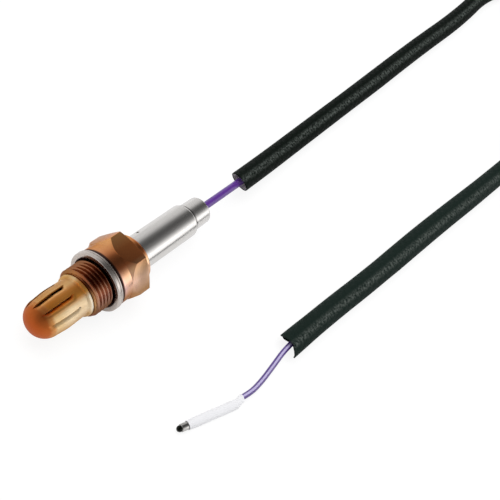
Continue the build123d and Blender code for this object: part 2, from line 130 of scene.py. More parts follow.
def linked(name: str, data: bpy.types.ID) -> bpy.types.Object:
    """Make an object and link it to the scene.

    Args:
        name: the object's name.
        data: its mesh, curve, camera or light.

    Returns:
        The new object.
    """
    made = bpy.data.objects.new(name, data)
    bpy.context.scene.collection.objects.link(made)
    return made


def smoothstep(value: float) -> float:
    """Ease from 0 to 1 with flat ends."""
    value = min(max(value, 0.0), 1.0)
    return value * value * (3 - 2 * value)


def between(table: Sequence[tuple[float, float]], value: float) -> float:
    """Read a table with eased steps between its entries.

    Args:
        table: (place, amount) pairs in rising order of place.
        value: the place to read.

    Returns:
        The amount there.
    """
    if value <= table[0][0]:
        return table[0][1]
    for (low, first), (high, last) in zip(table, table[1:]):
        if value <= high:
            return first + (last - first) * smoothstep((value - low) / (high - low))
    return table[-1][1]


def rounded(corners: Sequence[Corner], steps: int = 4, closed: bool = True) -> Outline:
    """Round an outline's corners.

    Args:
        corners: (station, radius, fillet) of each corner; a fillet of 0 keeps it sharp.
        steps: segments of each fillet.
        closed: whether the last corner joins the first.

    Returns:
        The outline's points, the same number for the same list of fillets.
    """
    points: Outline = []
    count = len(corners)
    for index, (station, radius, fillet) in enumerate(corners):
        here = Vector((station, radius))
        if fillet <= 0 or (not closed and index in (0, count - 1)):
            points.append((station, radius))
            continue
        back = Vector(corners[index - 1][:2]) - here
        ahead = Vector(corners[(index + 1) % count][:2]) - here
        half = back.angle(ahead) / 2
        reach = min(fillet / math.tan(half), back.length * FILLET_SHARE, ahead.length * FILLET_SHARE)
        bend = reach * math.tan(half)
        centre = here + (back.normalized() + ahead.normalized()).normalized() * (bend / math.sin(half))
        start = here + back.normalized() * reach - centre
        end = here + ahead.normalized() * reach - centre
        swing = start.angle_signed(end)
        for step in range(steps + 1):
            arm = start.copy()
            arm.rotate(Matrix.Rotation(-swing * step / steps, 2))
            points.append((centre.x + arm.x, centre.y + arm.y))
    return points


def finished(name: str, mesh: bpy.types.Mesh, materials: Sequence[bpy.types.Material],
             crease: float = 35.0) -> bpy.types.Object:
    """Link a mesh as an object, smooth between creases, with outward faces.

    Args:
        name: the piece's name.
        mesh: its mesh, in the row frame.
        materials: its finishes.
        crease: angle in degrees from which an edge stays sharp.

    Returns:
        The new object.
    """
    shape = bmesh.new()
    shape.from_mesh(mesh)
    bmesh.ops.recalc_face_normals(shape, faces=shape.faces)
    shape.to_mesh(mesh)
    shape.free()
    mesh.polygons.foreach_set("use_smooth", [True] * len(mesh.polygons))
    mesh.set_sharp_from_angle(angle=math.radians(crease))
    for material in materials:
        mesh.materials.append(material)
    return linked(name, mesh)


def loft(name: str, columns: Sequence[Outline], bearings: Sequence[float],
         place: Matrix = BODY_PLACE) -> bpy.types.Mesh:
    """Close a mesh over outlines that stand round an axis, one at each bearing.

    Args:
        name: the mesh's name.
        columns: closed (station, radius) outlines with the same number of points.
        bearings: each outline's angle in radians, from +Y towards +Z.
        place: from the axis's frame, in metres, to the row frame.

    Returns:
        The mesh.
    """
    rows = len(columns[0])
    on_axis = [all(column[row][1] < 1e-6 for column in columns) for row in range(rows)]
    vertices: list[Vector] = []
    rings: list[list[int]] = []
    for row in range(rows):
        if on_axis[row]:
            vertices.append(place @ Vector((columns[0][row][0] * MM, 0.0, 0.0)))
            rings.append([len(vertices) - 1] * len(columns))
            continue
        rings.append(list(range(len(vertices), len(vertices) + len(columns))))
        for column, bearing in zip(columns, bearings):
            station, radius = column[row]
            vertices.append(place @ (Vector((station, radius * math.cos(bearing),
                                             radius * math.sin(bearing))) * MM))
    faces: list[list[int]] = []
    for row in range(rows):
        after = (row + 1) % rows
        if on_axis[row] and on_axis[after]:
            continue
        for index in range(len(columns)):
            beside = (index + 1) % len(columns)
            corners = [rings[row][index], rings[row][beside], rings[after][beside], rings[after][index]]
            faces.append(list(dict.fromkeys(corners)))
    mesh = bpy.data.meshes.new(name)
    mesh.from_pydata(vertices, [], faces)
    return mesh


def lathe(name: str, corners: Sequence[Corner], material: bpy.types.Material, sides: int,
          place: Matrix = BODY_PLACE) -> bpy.types.Object:
    """Turn a closed outline round the axis.

    Args:
        name: the piece's name.
        corners: (station, radius, fillet) of the outline's corners.
        material: the piece's finish.
        sides: facets round the axis.
        place: from the axis's frame, in metres, to the row frame.

    Returns:
        The turned piece.
    """
    bearings = [2 * math.pi * side / sides for side in range(sides)]
    return finished(name, loft(name, [rounded(corners)] * sides, bearings, place), [material])


def settle(piece: bpy.types.Object) -> None:
    """Turn a piece's modifiers into its plain mesh.

    Args:
        piece: an object with modifiers.
    """
    evaluated = piece.evaluated_get(bpy.context.evaluated_depsgraph_get())
    mesh = bpy.data.meshes.new_from_object(evaluated)
    piece.modifiers.clear()
    piece.data = mesh


class Recipe:
    """A Geometry Nodes tree with named inputs that is run once on a piece."""

    def __init__(self, name: str) -> None:
        """Start an empty tree.

        Args:
            name: the tree's name.
        """
        self.tree = bpy.data.node_groups.new(name, "GeometryNodeTree")
        self.tree.interface.new_socket("Geometry", in_out="INPUT", socket_type="NodeSocketGeometry")
        self.tree.interface.new_socket("Geometry", in_out="OUTPUT", socket_type="NodeSocketGeometry")
        self.entry = self.tree.nodes.new("NodeGroupInput")
        self.identifiers: dict[str, str] = {}

    def size(self, name: str, kind: str = "NodeSocketFloat") -> bpy.types.NodeSocket:
        """Add a named input.

        Args:
            name: what the input is called.
            kind: its socket type.

        Returns:
            The socket that carries it.
        """
        socket = self.tree.interface.new_socket(name, in_out="INPUT", socket_type=kind)
        self.identifiers[name] = socket.identifier
        return self.entry.outputs[name]

    def run(self, piece: bpy.types.Object, outcome: bpy.types.Node, material: bpy.types.Material,
            sizes: dict[str, Any]) -> None:
        """Finish the tree with the material, run it and keep the plain mesh.

        Args:
            piece: the object that it works on.
            outcome: the node whose geometry the recipe ends with.
            material: the finish.
            sizes: a value for each named input.
        """
        whole = add_node(self.tree, "GeometryNodeRealizeInstances", {"Geometry": outcome})
        dressed = add_node(self.tree, "GeometryNodeSetMaterial", {"Geometry": whole, "Material": material})
        add_node(self.tree, "NodeGroupOutput", {"Geometry": dressed})
        modifier = piece.modifiers.new(self.tree.name, "NODES")
        modifier.node_group = self.tree
        for name, value in sizes.items():
            modifier[self.identifiers[name]] = value
        settle(piece)


# ------------------------------------------------------------------ finishes
@dataclass(frozen=True)
class Finish:
    """A procedural surface on Object coordinates: two tones, a grain and its relief."""

    name: str
    tone: str
    second_tone: str
    roughness: float
    metallic: float = 0.0
    grain_mm: float = 1.0              # size of the grain
    stretch: tuple[float, float, float] = (1.0, 1.0, 1.0)   # grain frequency along X, Y and Z
    relief_mm: float = 0.01            # height of the grain
    roughness_swing: float = 0.08
    ior: float = 1.5
    specular: float = 0.5
    coat: float = 0.0
    coat_roughness: float = 0.12
    coat_ior: float = 1.5
    glancing_tint: str = "#FFFFFF"     # tint of a metal's reflection at a glancing angle

    def material(self) -> bpy.types.Material:
        """Build the material.

        Returns:
            The finished material.
        """
        made = bpy.data.materials.new(self.name)
        made.use_nodes = True
        tree = made.node_tree
        shader = tree.nodes["Principled BSDF"]
        plain = {
            "Metallic": self.metallic, "IOR": self.ior, "Specular IOR Level": self.specular,
            "Specular Tint": linear(self.glancing_tint), "Coat Weight": self.coat,
            "Coat Roughness": self.coat_roughness, "Coat IOR": self.coat_ior,
        }
        for socket, value in plain.items():
            shader.inputs[socket].default_value = value
        grain = self.grain(tree)
        tree.links.new(self.colour(tree, grain), shader.inputs["Base Color"])
        worn = add_node(tree, "ShaderNodeMapRange", {
            "Value": grain, "To Min": self.roughness - self.roughness_swing,
            "To Max": self.roughness + self.roughness_swing,
        })
        tree.links.new(worn.outputs[0], shader.inputs["Roughness"])
        relief = add_node(tree, "ShaderNodeBump", {
            "Height": self.height(tree, grain), "Distance": self.relief_mm * MM, "Strength": 1.0,
        })
        tree.links.new(relief.outputs[0], shader.inputs["Normal"])
        return made

    def grain(self, tree: bpy.types.NodeTree) -> bpy.types.NodeSocket:
        """Make the grain's noise, at its real size.

        Args:
            tree: the material's tree.

        Returns:
            A value from 0 to 1.
        """
        place = add_node(tree, "ShaderNodeTexCoord").outputs["Object"]
        scale = [share / (self.grain_mm * MM) for share in self.stretch]
        sized = add_node(tree, "ShaderNodeMapping", {"Vector": place, "Scale": scale})
        noise = add_node(tree, "ShaderNodeTexNoise",
                         {"Vector": sized, "Scale": 1.0, "Detail": 3.0, "Roughness": 0.6})
        return noise.outputs["Fac"]

    def colour(self, tree: bpy.types.NodeTree, grain: bpy.types.NodeSocket) -> bpy.types.NodeSocket:
        """Mix the two tones by the grain.

        Args:
            tree: the material's tree.
            grain: the grain's value.

        Returns:
            The colour.
        """
        mix = add_node(tree, "ShaderNodeMix", {
            "Factor": grain, MIX_UNDER: linear(self.tone), MIX_OVER: linear(self.second_tone),
        }, data_type="RGBA")
        return mix.outputs[MIX_RESULT]

    def height(self, tree: bpy.types.NodeTree, grain: bpy.types.NodeSocket) -> bpy.types.NodeSocket:
        """The relief is the grain itself."""
        return grain


@dataclass(frozen=True)
class BandedFinish(Finish):
    """A finish whose tone changes along the sensor as heat or plating leaves it, and round it as painted
    light and shade.
    """

    start: float = 0.0                             # station of the first tone
    bands: tuple[tuple[float, str], ...] = ()      # (station, tone) of the tones after it
    wander_mm: float = 0.8                         # how far the bands' edges wander
    blotch_mm: float = 6.25                        # size of the blotches that the edges follow
    film_span: tuple[float, ...] = ()              # stations where the film starts and is full
    sides: tuple[tuple[float, str], ...] = ()      # (bearing, tone) round the piece: painted light and shade
    pit: tuple[float, ...] = ()                    # (station, radius, bearing, size) of a small pit
    pit_edge: tuple[float, float] = (0.3, 0.6)     # where its edge starts and ends, as shares of its size
    pit_tone: str = "#3A2818"

    def material(self) -> bpy.types.Material:
        """Build the material, its film's gloss growing from bare metal where it has a span.

        Returns:
            The finished material.
        """
        made = super().material()
        if self.film_span:
            tree = made.node_tree
            place = add_node(tree, "ShaderNodeTexCoord").outputs["Object"]
            parts = add_node(tree, "ShaderNodeSeparateXYZ", {0: place})
            shader = tree.nodes["Principled BSDF"]
            tree.links.new(self.film(tree, parts.outputs["X"], self.coat), shader.inputs["Coat Weight"])
        return made

    def film(self, tree: bpy.types.NodeTree, along: bpy.types.NodeSocket,
             full_value: float) -> bpy.types.NodeSocket:
        """Let the film grow from nothing to its full value, over its span or just before the piece.

        Args:
            tree: the material's tree.
            along: place along the row frame's X.
            full_value: what the value grows to.

        Returns:
            The value at each place.
        """
        first, full = self.film_span or (self.start - 1, self.start)
        return add_node(tree, "ShaderNodeMapRange", {
            "Value": along, "From Min": station_x(first), "From Max": station_x(full), "To Max": full_value,
        }).outputs[0]

    def colour(self, tree: bpy.types.NodeTree, grain: bpy.types.NodeSocket) -> bpy.types.NodeSocket:
        """Mix the tones along the stations and the grain, then add the painted light and shade by bearing,
        and the pit.

        Args:
            tree: the material's tree.
            grain: the grain's value.

        Returns:
            The colour.
        """
        place = add_node(tree, "ShaderNodeTexCoord").outputs["Object"]
        parts = add_node(tree, "ShaderNodeSeparateXYZ", {0: place})
        mix = add_node(tree, "ShaderNodeMix", {
            "Factor": grain, MIX_UNDER: self.banded(tree, place, parts.outputs["X"]),
            MIX_OVER: linear(self.second_tone),
        }, data_type="RGBA", blend_type="MULTIPLY")
        colour = mix.outputs[MIX_RESULT]
        if self.sides:
            colour = self.painted_by_bearing(tree, parts, colour)
        if self.pit:
            colour = self.pitted(tree, place, colour)
        return colour

    def banded(self, tree: bpy.types.NodeTree, place: bpy.types.NodeSocket,
               along: bpy.types.NodeSocket) -> bpy.types.NodeSocket:
        """Run through the tones along the stations, with edges that wander a little.

        Args:
            tree: the material's tree.
            place: Object coordinates.
            along: their X.

        Returns:
            The colour.
        """
        bands = ((self.start, self.tone), *self.bands)
        stretch = bands[-1][0] - self.start
        blotch = add_node(tree, "ShaderNodeTexNoise",
                          {"Vector": place, "Scale": 1 / (self.blotch_mm * MM), "Detail": 2.0})
        swing = add_node(tree, "ShaderNodeMapRange", {
            "Value": blotch.outputs["Fac"], "To Min": -self.wander_mm * MM, "To Max": self.wander_mm * MM,
        })
        moved = add_node(tree, "ShaderNodeMath", {0: along, 1: swing})
        spread = add_node(tree, "ShaderNodeMapRange", {
            "Value": moved, "From Min": station_x(self.start), "From Max": station_x(bands[-1][0]),
        })
        ramp = add_node(tree, "ShaderNodeValToRGB", {"Fac": spread})
        ramp.color_ramp.interpolation = "EASE"
        fill_ramp(ramp.color_ramp,
                  [((station - self.start) / stretch, linear(tone)) for station, tone in bands])
        return ramp.outputs[0]

    def painted_by_bearing(self, tree: bpy.types.NodeTree, parts: bpy.types.Node,
               under: bpy.types.NodeSocket) -> bpy.types.NodeSocket:
        """Tint the metal by a tone that changes with the bearing, which paints light and shade, faded in over
        the film's span.

        Args:
            tree: the material's tree.
            parts: X, Y and Z of Object coordinates.
            under: the metal's colour.

        Returns:
            The tinted colour.
        """
        # The tone by bearing is painted highlight and painted shade, not a film that the metal has.
        rise = add_node(tree, "ShaderNodeMath", {0: parts.outputs["Z"], 1: AXIS_HEIGHT * MM},
                        operation="SUBTRACT")
        turn = add_node(tree, "ShaderNodeMath", {0: parts.outputs["Y"], 1: rise}, operation="ARCTAN2")
        around = add_node(tree, "ShaderNodeMapRange",
                          {"Value": turn, "From Min": math.pi, "From Max": -math.pi})
        ramp = add_node(tree, "ShaderNodeValToRGB", {"Fac": around})
        fill_ramp(ramp.color_ramp, [((bearing + 90) / 360, linear(tone)) for bearing, tone in self.sides])
        tinted = add_node(tree, "ShaderNodeMix", {
            "Factor": self.film(tree, parts.outputs["X"], 1.0), MIX_UNDER: under, MIX_OVER: ramp,
        }, data_type="RGBA", blend_type="MULTIPLY")
        return tinted.outputs[MIX_RESULT]

    def pitted(self, tree: bpy.types.NodeTree, place: bpy.types.NodeSocket,
               under: bpy.types.NodeSocket) -> bpy.types.NodeSocket:
        """Darken a small round pit with a soft edge.

        Args:
            tree: the material's tree.
            place: Object coordinates.
            under: the colour round the pit.

        Returns:
            The colour with the pit.
        """
        station, radius, bearing, size = self.pit
        turn = math.radians(bearing)
        centre = BODY_PLACE @ (Vector((station, radius * math.cos(turn), radius * math.sin(turn))) * MM)
        away = add_node(tree, "ShaderNodeVectorMath", {0: place, 1: centre}, operation="DISTANCE")
        dark, clear = (size * share * MM for share in self.pit_edge)
        inside = add_node(tree, "ShaderNodeMapRange", {
            "Value": away.outputs["Value"], "From Min": dark, "From Max": clear, "To Min": 1.0, "To Max": 0.0,
        })
        marked = add_node(tree, "ShaderNodeMix", {
            "Factor": inside, MIX_UNDER: under, MIX_OVER: linear(self.pit_tone),
        }, data_type="RGBA")
        return marked.outputs[MIX_RESULT]


@dataclass(frozen=True)
class BraidFinish(Finish):
    """Braided yarn under varnish, drawn on the sleeve's own UV map."""

    yarns: int = 28                # yarns of each direction round the sleeve
    step_mm: float = 1.0           # distance between crossings along the sleeve
    stray: float = 0.9             # how far a yarn strays from its place, in steps
    stray_scale: float = 90.0      # how often it does, on the UV map's own scale
    lump_share: float = 1.6        # height of the varnish's lumps beside that of a yarn
    sheen_fleck_span: tuple[float, float] = (0.4, 0.64)      # lumps where the painted highlight starts and where it is full
    girth_mm: float = 27.0         # the way round the sleeve
    sheen_streak_tone: str = "#5A605C"     # painted highlight: grey sheen in flecks along the sleeve's crown
    sheen_streak_offset: float = 0.05       # how far the painted highlight lies off the top, in turns
    sheen_streak_width: float = 0.075      # half its width, in turns
    lead_turn: float = 0.38        # metres along the sleeve to where the line changes sides
    lead_turn_span: float = 0.06      # half the stretch over which it does
    far_stretch_tone: str = "#1C2723"    # lighter varnish tone of the stretch past there

    def grain(self, tree: bpy.types.NodeTree) -> bpy.types.NodeSocket:
        """Cross two families of yarn, one over the other in turn.

        Args:
            tree: the material's tree.

        Returns:
            The yarn's crown, 0 in the gaps and 1 on the yarn.
        """
        chart = add_node(tree, "ShaderNodeUVMap")
        parts = add_node(tree, "ShaderNodeSeparateXYZ", {0: chart})
        around = add_node(tree, "ShaderNodeMath", {0: parts.outputs["X"], 1: float(self.yarns)},
                          operation="MULTIPLY")
        along = add_node(tree, "ShaderNodeMath", {0: parts.outputs["Y"], 1: 1 / (self.step_mm * MM)},
                         operation="MULTIPLY")
        wander = add_node(tree, "ShaderNodeTexNoise",
                          {"Vector": chart, "Scale": self.stray_scale, "Detail": 2.0})
        drift = add_node(tree, "ShaderNodeMath", {0: wander.outputs["Fac"], 1: self.stray, 2: along},
                         operation="MULTIPLY_ADD")
        crowns = []
        rows = []
        for turn in ("ADD", "SUBTRACT"):
            slant = add_node(tree, "ShaderNodeMath", {0: around, 1: drift}, operation=turn)
            half = add_node(tree, "ShaderNodeMath", {0: slant, 1: 0.5}, operation="MULTIPLY")
            crowns.append(add_node(tree, "ShaderNodeMath", {0: half, 1: 1.0}, operation="PINGPONG"))
            rows.append(add_node(tree, "ShaderNodeMath", {0: half}, operation="FLOOR"))
        parity = add_node(tree, "ShaderNodeMath", {0: rows[0], 1: rows[1]})
        over = add_node(tree, "ShaderNodeMath", {0: parity, 1: 2.0}, operation="FLOORED_MODULO")
        top = add_node(tree, "ShaderNodeMix", {
            "Factor": over, MIX_FIRST_VALUE: crowns[0], MIX_SECOND_VALUE: crowns[1],
        }, data_type="FLOAT")
        return top.outputs[0]

    def lumps(self, tree: bpy.types.NodeTree, detail: float, roughness: float) -> bpy.types.NodeSocket:
        """Make lumps of about a millimetre on the sleeve's unrolled surface.

        Args:
            tree: the material's tree.
            detail: how many finer layers the noise has.
            roughness: how strong they are.

        Returns:
            A value from 0 to 1.
        """
        chart = add_node(tree, "ShaderNodeUVMap")
        sized = add_node(tree, "ShaderNodeMapping", {"Vector": chart, "Scale": (self.girth_mm, 1 / MM, 1.0)})
        noise = add_node(tree, "ShaderNodeTexNoise",
                         {"Vector": sized, "Scale": 0.9, "Detail": detail, "Roughness": roughness})
        return noise.outputs["Fac"]

    def colour(self, tree: bpy.types.NodeTree, grain: bpy.types.NodeSocket) -> bpy.types.NodeSocket:
        """Give the stretch past the lead's turn a lighter tone, and paint a highlight in flecks along the
        crown.

        Args:
            tree: the material's tree.
            grain: the yarn's crown.

        Returns:
            The colour.
        """
        chart = add_node(tree, "ShaderNodeUVMap")
        parts = add_node(tree, "ShaderNodeSeparateXYZ", {0: chart})
        turning = {"Value": parts.outputs["Y"], "From Min": self.lead_turn - self.lead_turn_span,
                   "From Max": self.lead_turn + self.lead_turn_span}
        # A lighter tone for the stretch past the lead's turn.
        past_turn = add_node(tree, "ShaderNodeMapRange", turning)
        far_toned = add_node(tree, "ShaderNodeMix", {
            "Factor": past_turn, MIX_UNDER: super().colour(tree, grain), MIX_OVER: linear(self.far_stretch_tone),
        }, data_type="RGBA")
        # Painted highlight: grey sheen in flecks along a line off the crown, on the other side past the
        # lead's turn.
        middle = add_node(tree, "ShaderNodeMapRange",
                          {**turning, "To Min": self.sheen_streak_offset, "To Max": -self.sheen_streak_offset})
        away = add_node(tree, "ShaderNodeMath", {0: parts.outputs["X"], 1: middle}, operation="SUBTRACT")
        turned = add_node(tree, "ShaderNodeMath", {0: away, 1: 0.5}, operation="PINGPONG")
        line = add_node(tree, "ShaderNodeMapRange", {
            "Value": turned, "From Min": 0.0, "From Max": self.sheen_streak_width, "To Min": 1.0, "To Max": 0.0,
        }, interpolation_type="SMOOTHSTEP")
        whole, bare = self.sheen_fleck_span
        fleck = add_node(tree, "ShaderNodeMapRange",
                         {"Value": self.lumps(tree, 3.0, 0.7), "From Min": whole, "From Max": bare})
        painted_sheen = add_node(tree, "ShaderNodeMath", {0: line, 1: fleck}, operation="MULTIPLY")
        mix = add_node(tree, "ShaderNodeMix", {
            "Factor": painted_sheen, MIX_UNDER: far_toned.outputs[MIX_RESULT], MIX_OVER: linear(self.sheen_streak_tone),
        }, data_type="RGBA")
        return mix.outputs[MIX_RESULT]

    def height(self, tree: bpy.types.NodeTree, grain: bpy.types.NodeSocket) -> bpy.types.NodeSocket:
        """Add lumps of varnish to the yarn.

        Args:
            tree: the material's tree.
            grain: the yarn's crown.

        Returns:
            The relief.
        """
        lumps = self.lumps(tree, 4.0, 0.65)
        total = add_node(tree, "ShaderNodeMath", {0: lumps, 1: self.lump_share, 2: grain},
                         operation="MULTIPLY_ADD")
        return total.outputs[0]


@dataclass(frozen=True)
class CrownHighlightFinish(Finish):
    """A wire's jacket with a painted highlight: a pale line along its crown, drawn on the wire's own UV map.
    """

    highlight_line_tone: str = "#C2B8E0"
    highlight_line_width: float = 0.058    # half its width, in turns
    highlight_line_blur: float = 0.3       # how soft its edges are, as a share of the width

    def colour(self, tree: bpy.types.NodeTree, grain: bpy.types.NodeSocket) -> bpy.types.NodeSocket:
        """Draw the painted highlight line over the jacket's two tones.

        Args:
            tree: the material's tree.
            grain: the grain's value.

        Returns:
            The colour.
        """
        chart = add_node(tree, "ShaderNodeUVMap")
        parts = add_node(tree, "ShaderNodeSeparateXYZ", {0: chart})
        turned = add_node(tree, "ShaderNodeMath", {0: parts.outputs["X"], 1: 0.5}, operation="PINGPONG")
        line = add_node(tree, "ShaderNodeMapRange", {
            "Value": turned, "From Min": self.highlight_line_width * (1 - self.highlight_line_blur),
            "From Max": self.highlight_line_width * (1 + self.highlight_line_blur), "To Min": 1.0, "To Max": 0.0,
        }, interpolation_type="SMOOTHSTEP")
        mix = add_node(tree, "ShaderNodeMix", {
            "Factor": line, MIX_UNDER: super().colour(tree, grain), MIX_OVER: linear(self.highlight_line_tone),
        }, data_type="RGBA")
        return mix.outputs[MIX_RESULT]


# Louvred shield: heat-tinted nickel-chrome steel. Matt coppery dome, then an oxide film. Round the tube a
# tone
# by bearing paints light and shade: pale straw where the highlight falls towards -Y, saturated orange over
# the top.
HEAT_TINTED_STEEL = BandedFinish(
    "heat_tinted_drawn_steel", "#BE5F2A", "#F8F3EE", 0.55, metallic=1.0, grain_mm=0.5,
    stretch=(0.35, 1.0, 1.0), relief_mm=0.002, coat=0.2, coat_roughness=0.12, coat_ior=1.8,
    bands=((3.0, "#C46C32"), (4.6, "#DE9E5C"), (6.0, "#F2D29C"), (12.0, "#F8E2BC"), (17.0, "#F2DAB4"),
           (19.3, "#F2DEBC"), (20.4, "#FCF6E6"), (21.0, "#E8CCA4")),
    film_span=(3.0, 6.0), pit=(15.6, 7.09, 141.0, 0.8),
    sides=((-90, "#C8B090"), (25, "#E4C078"), (48, "#D8B070"), (68, "#FFE6BC"), (84, "#FFBC68"),
           (112, "#FFC66C"), (126, "#FCFAF4"), (160, "#FCFCFC"), (182, "#D8C098"), (270, "#C8B090")),
)
# Shell: machined steel with a copper flash. Turned lines round the axis and a thin film. A tone by bearing
# paints
# light and shade: rosy where the highlight falls on the flank towards -Y, brown as painted shade on top.
FLASHED_STEEL = BandedFinish(
    "copper_flashed_turned_steel", "#B88C58", "#F0E4DA", 0.24, metallic=1.0, grain_mm=0.35,
    stretch=(3.0, 0.25, 0.25), relief_mm=0.0008, coat=0.3, coat_roughness=0.1, coat_ior=1.8,
    glancing_tint="#D4A684", start=20.8, wander_mm=0.15,
    # The dark bands from 31.1 to 31.8 are painted shade in the groove between the gasket and the collar.
    bands=((22.5, "#AE8270"), (28.0, "#A67C6C"), (31.1, "#3C1A0E"), (31.8, "#3C1A0E"), (32.4, "#F2C8BE"),
           (34.0, "#F0C4AE"), (39.0, "#FFD8BC"), (48.0, "#FFD8BC")),
    sides=((-90, "#C8B898"), (20, "#C4B37F"), (60, "#ECCC94"), (85, "#D4985A"), (112, "#CC8E56"),
           (126, "#F0E4C8"), (150, "#FFFFFF"), (175, "#B0A080"), (270, "#C8B898")),
)
# Folded gasket: cold-rolled steel with a dull tin coat. Grey, nearly matt, soft highlights.
TINNED_STRIP = Finish("tinned_gasket_strip", "#CEC6C0", "#B4ABA5", 0.26, metallic=1.0, grain_mm=0.8,
                      relief_mm=0.003)
# Rear sleeve: deep-drawn stainless, tumbled. Bright satin with a fine mottle, and a grey band of painted
# shade in the step to the neck.
TUMBLED_STAINLESS = BandedFinish(
    "tumbled_stainless", "#DEDCDA", "#E8E6E4", 0.23, metallic=1.0, grain_mm=0.35, stretch=(0.5, 1.0, 1.0),
    relief_mm=0.005, roughness_swing=0.1, start=42.9, wander_mm=0.12,
    bands=((74.6, "#DEDCDA"), (75.3, "#8C8A88"), (75.8, "#969492"), (76.5, "#DEDCDA"), (84.0, "#DEDCDA")),
)
# Lead at the sensor: extruded vinyl jacket. Even violet with a wet-looking streak of light.
VIOLET_VINYL = Finish(
    "violet_vinyl_jacket", "#552687", "#5D2E91", 0.4, grain_mm=2.0, roughness_swing=0.05, ior=1.52,
    coat=0.3, coat_roughness=0.15,
)
# Lead at the terminal: extruded vinyl jacket, deep violet, with a painted highlight: a pale line along its
# crown.
VIOLET_VINYL_PAINTED_HIGHLIGHT = CrownHighlightFinish(
    "violet_jacket_painted_highlight", "#4A2C7E", "#533388", 0.35, grain_mm=2.0, roughness_swing=0.05, ior=1.52,
    coat=0.3, coat_roughness=0.15,
)
# Sleeve over the lead: glass yarn braid with black acrylic varnish. Nearly black, with broken grey glints
# painted along the crown as a painted highlight.
# The yarn is drawn coarser than the real 0.5 mm so that it shows.
VARNISHED_BRAID = BraidFinish("varnished_glass_braid", "#070D09", "#0F1712", 0.55, relief_mm=0.12,
                              roughness_swing=0.1, specular=0.03)
# Bare glass yarn inside the sleeve: pale grey and matt.
BARE_GLASS_YARN = Finish("bare_glass_yarn", "#DEDAD6", "#ECE9E6", 0.8, grain_mm=0.5, relief_mm=0.05)
# Boot: soft white vinyl moulding. Milky, low gloss.
WHITE_VINYL = Finish("white_vinyl_moulding", "#F4F4F7", "#F0F0F3", 0.42, grain_mm=3.0)
# Terminal: tinned brass. Bright grey metal.
TINNED_BRASS = Finish("tinned_brass", "#C4C2BF", "#A6A4A2", 0.16, metallic=1.0, grain_mm=0.5, relief_mm=0.001)
# Pin: nickel, toned nearly black as a painted dark reflection, with a small sharp glint.
PIN_DARK_REFLECTION = Finish("nickel_painted_dark_reflection", "#2A2B28", "#1C1D1A", 0.25, metallic=1.0, grain_mm=0.5,
                     relief_mm=0.001)
# Neck grommet: moulded fluoro rubber. Black-brown and matt.
FLUORO_RUBBER = Finish("fluoro_rubber", "#1A1614", "#26201D", 0.65, grain_mm=0.5, relief_mm=0.02)
# Hidden pieces of the stack. Zirconia: slip-cast and fired, cream and dense. Talc: pressed powder, chalky.
# Steatite: fired, off-white with a soft sheen. Spring steel: blued, bluish grey. Contact wire: drawn nickel,
# warm grey.
ZIRCONIA = Finish("fired_zirconia", "#DDDACE", "#C9C5B8", 0.6, grain_mm=0.3, ior=2.1)
TALC = Finish("pressed_talc", "#DAD6CC", "#C4BFB4", 0.9, grain_mm=0.4, relief_mm=0.03)
STEATITE = Finish("fired_steatite", "#E6E2D8", "#D8D3C7", 0.5, grain_mm=0.6, ior=1.6)
SPRING_STEEL = Finish("blued_spring_steel", "#A7A6A8", "#8E8D90", 0.3, metallic=1.0, grain_mm=0.5,
                      relief_mm=0.003)
CONTACT_NICKEL = Finish("nickel_contact_wire", "#C8BFA8", "#B3AA94", 0.28, metallic=1.0, grain_mm=0.5,
                        relief_mm=0.003)


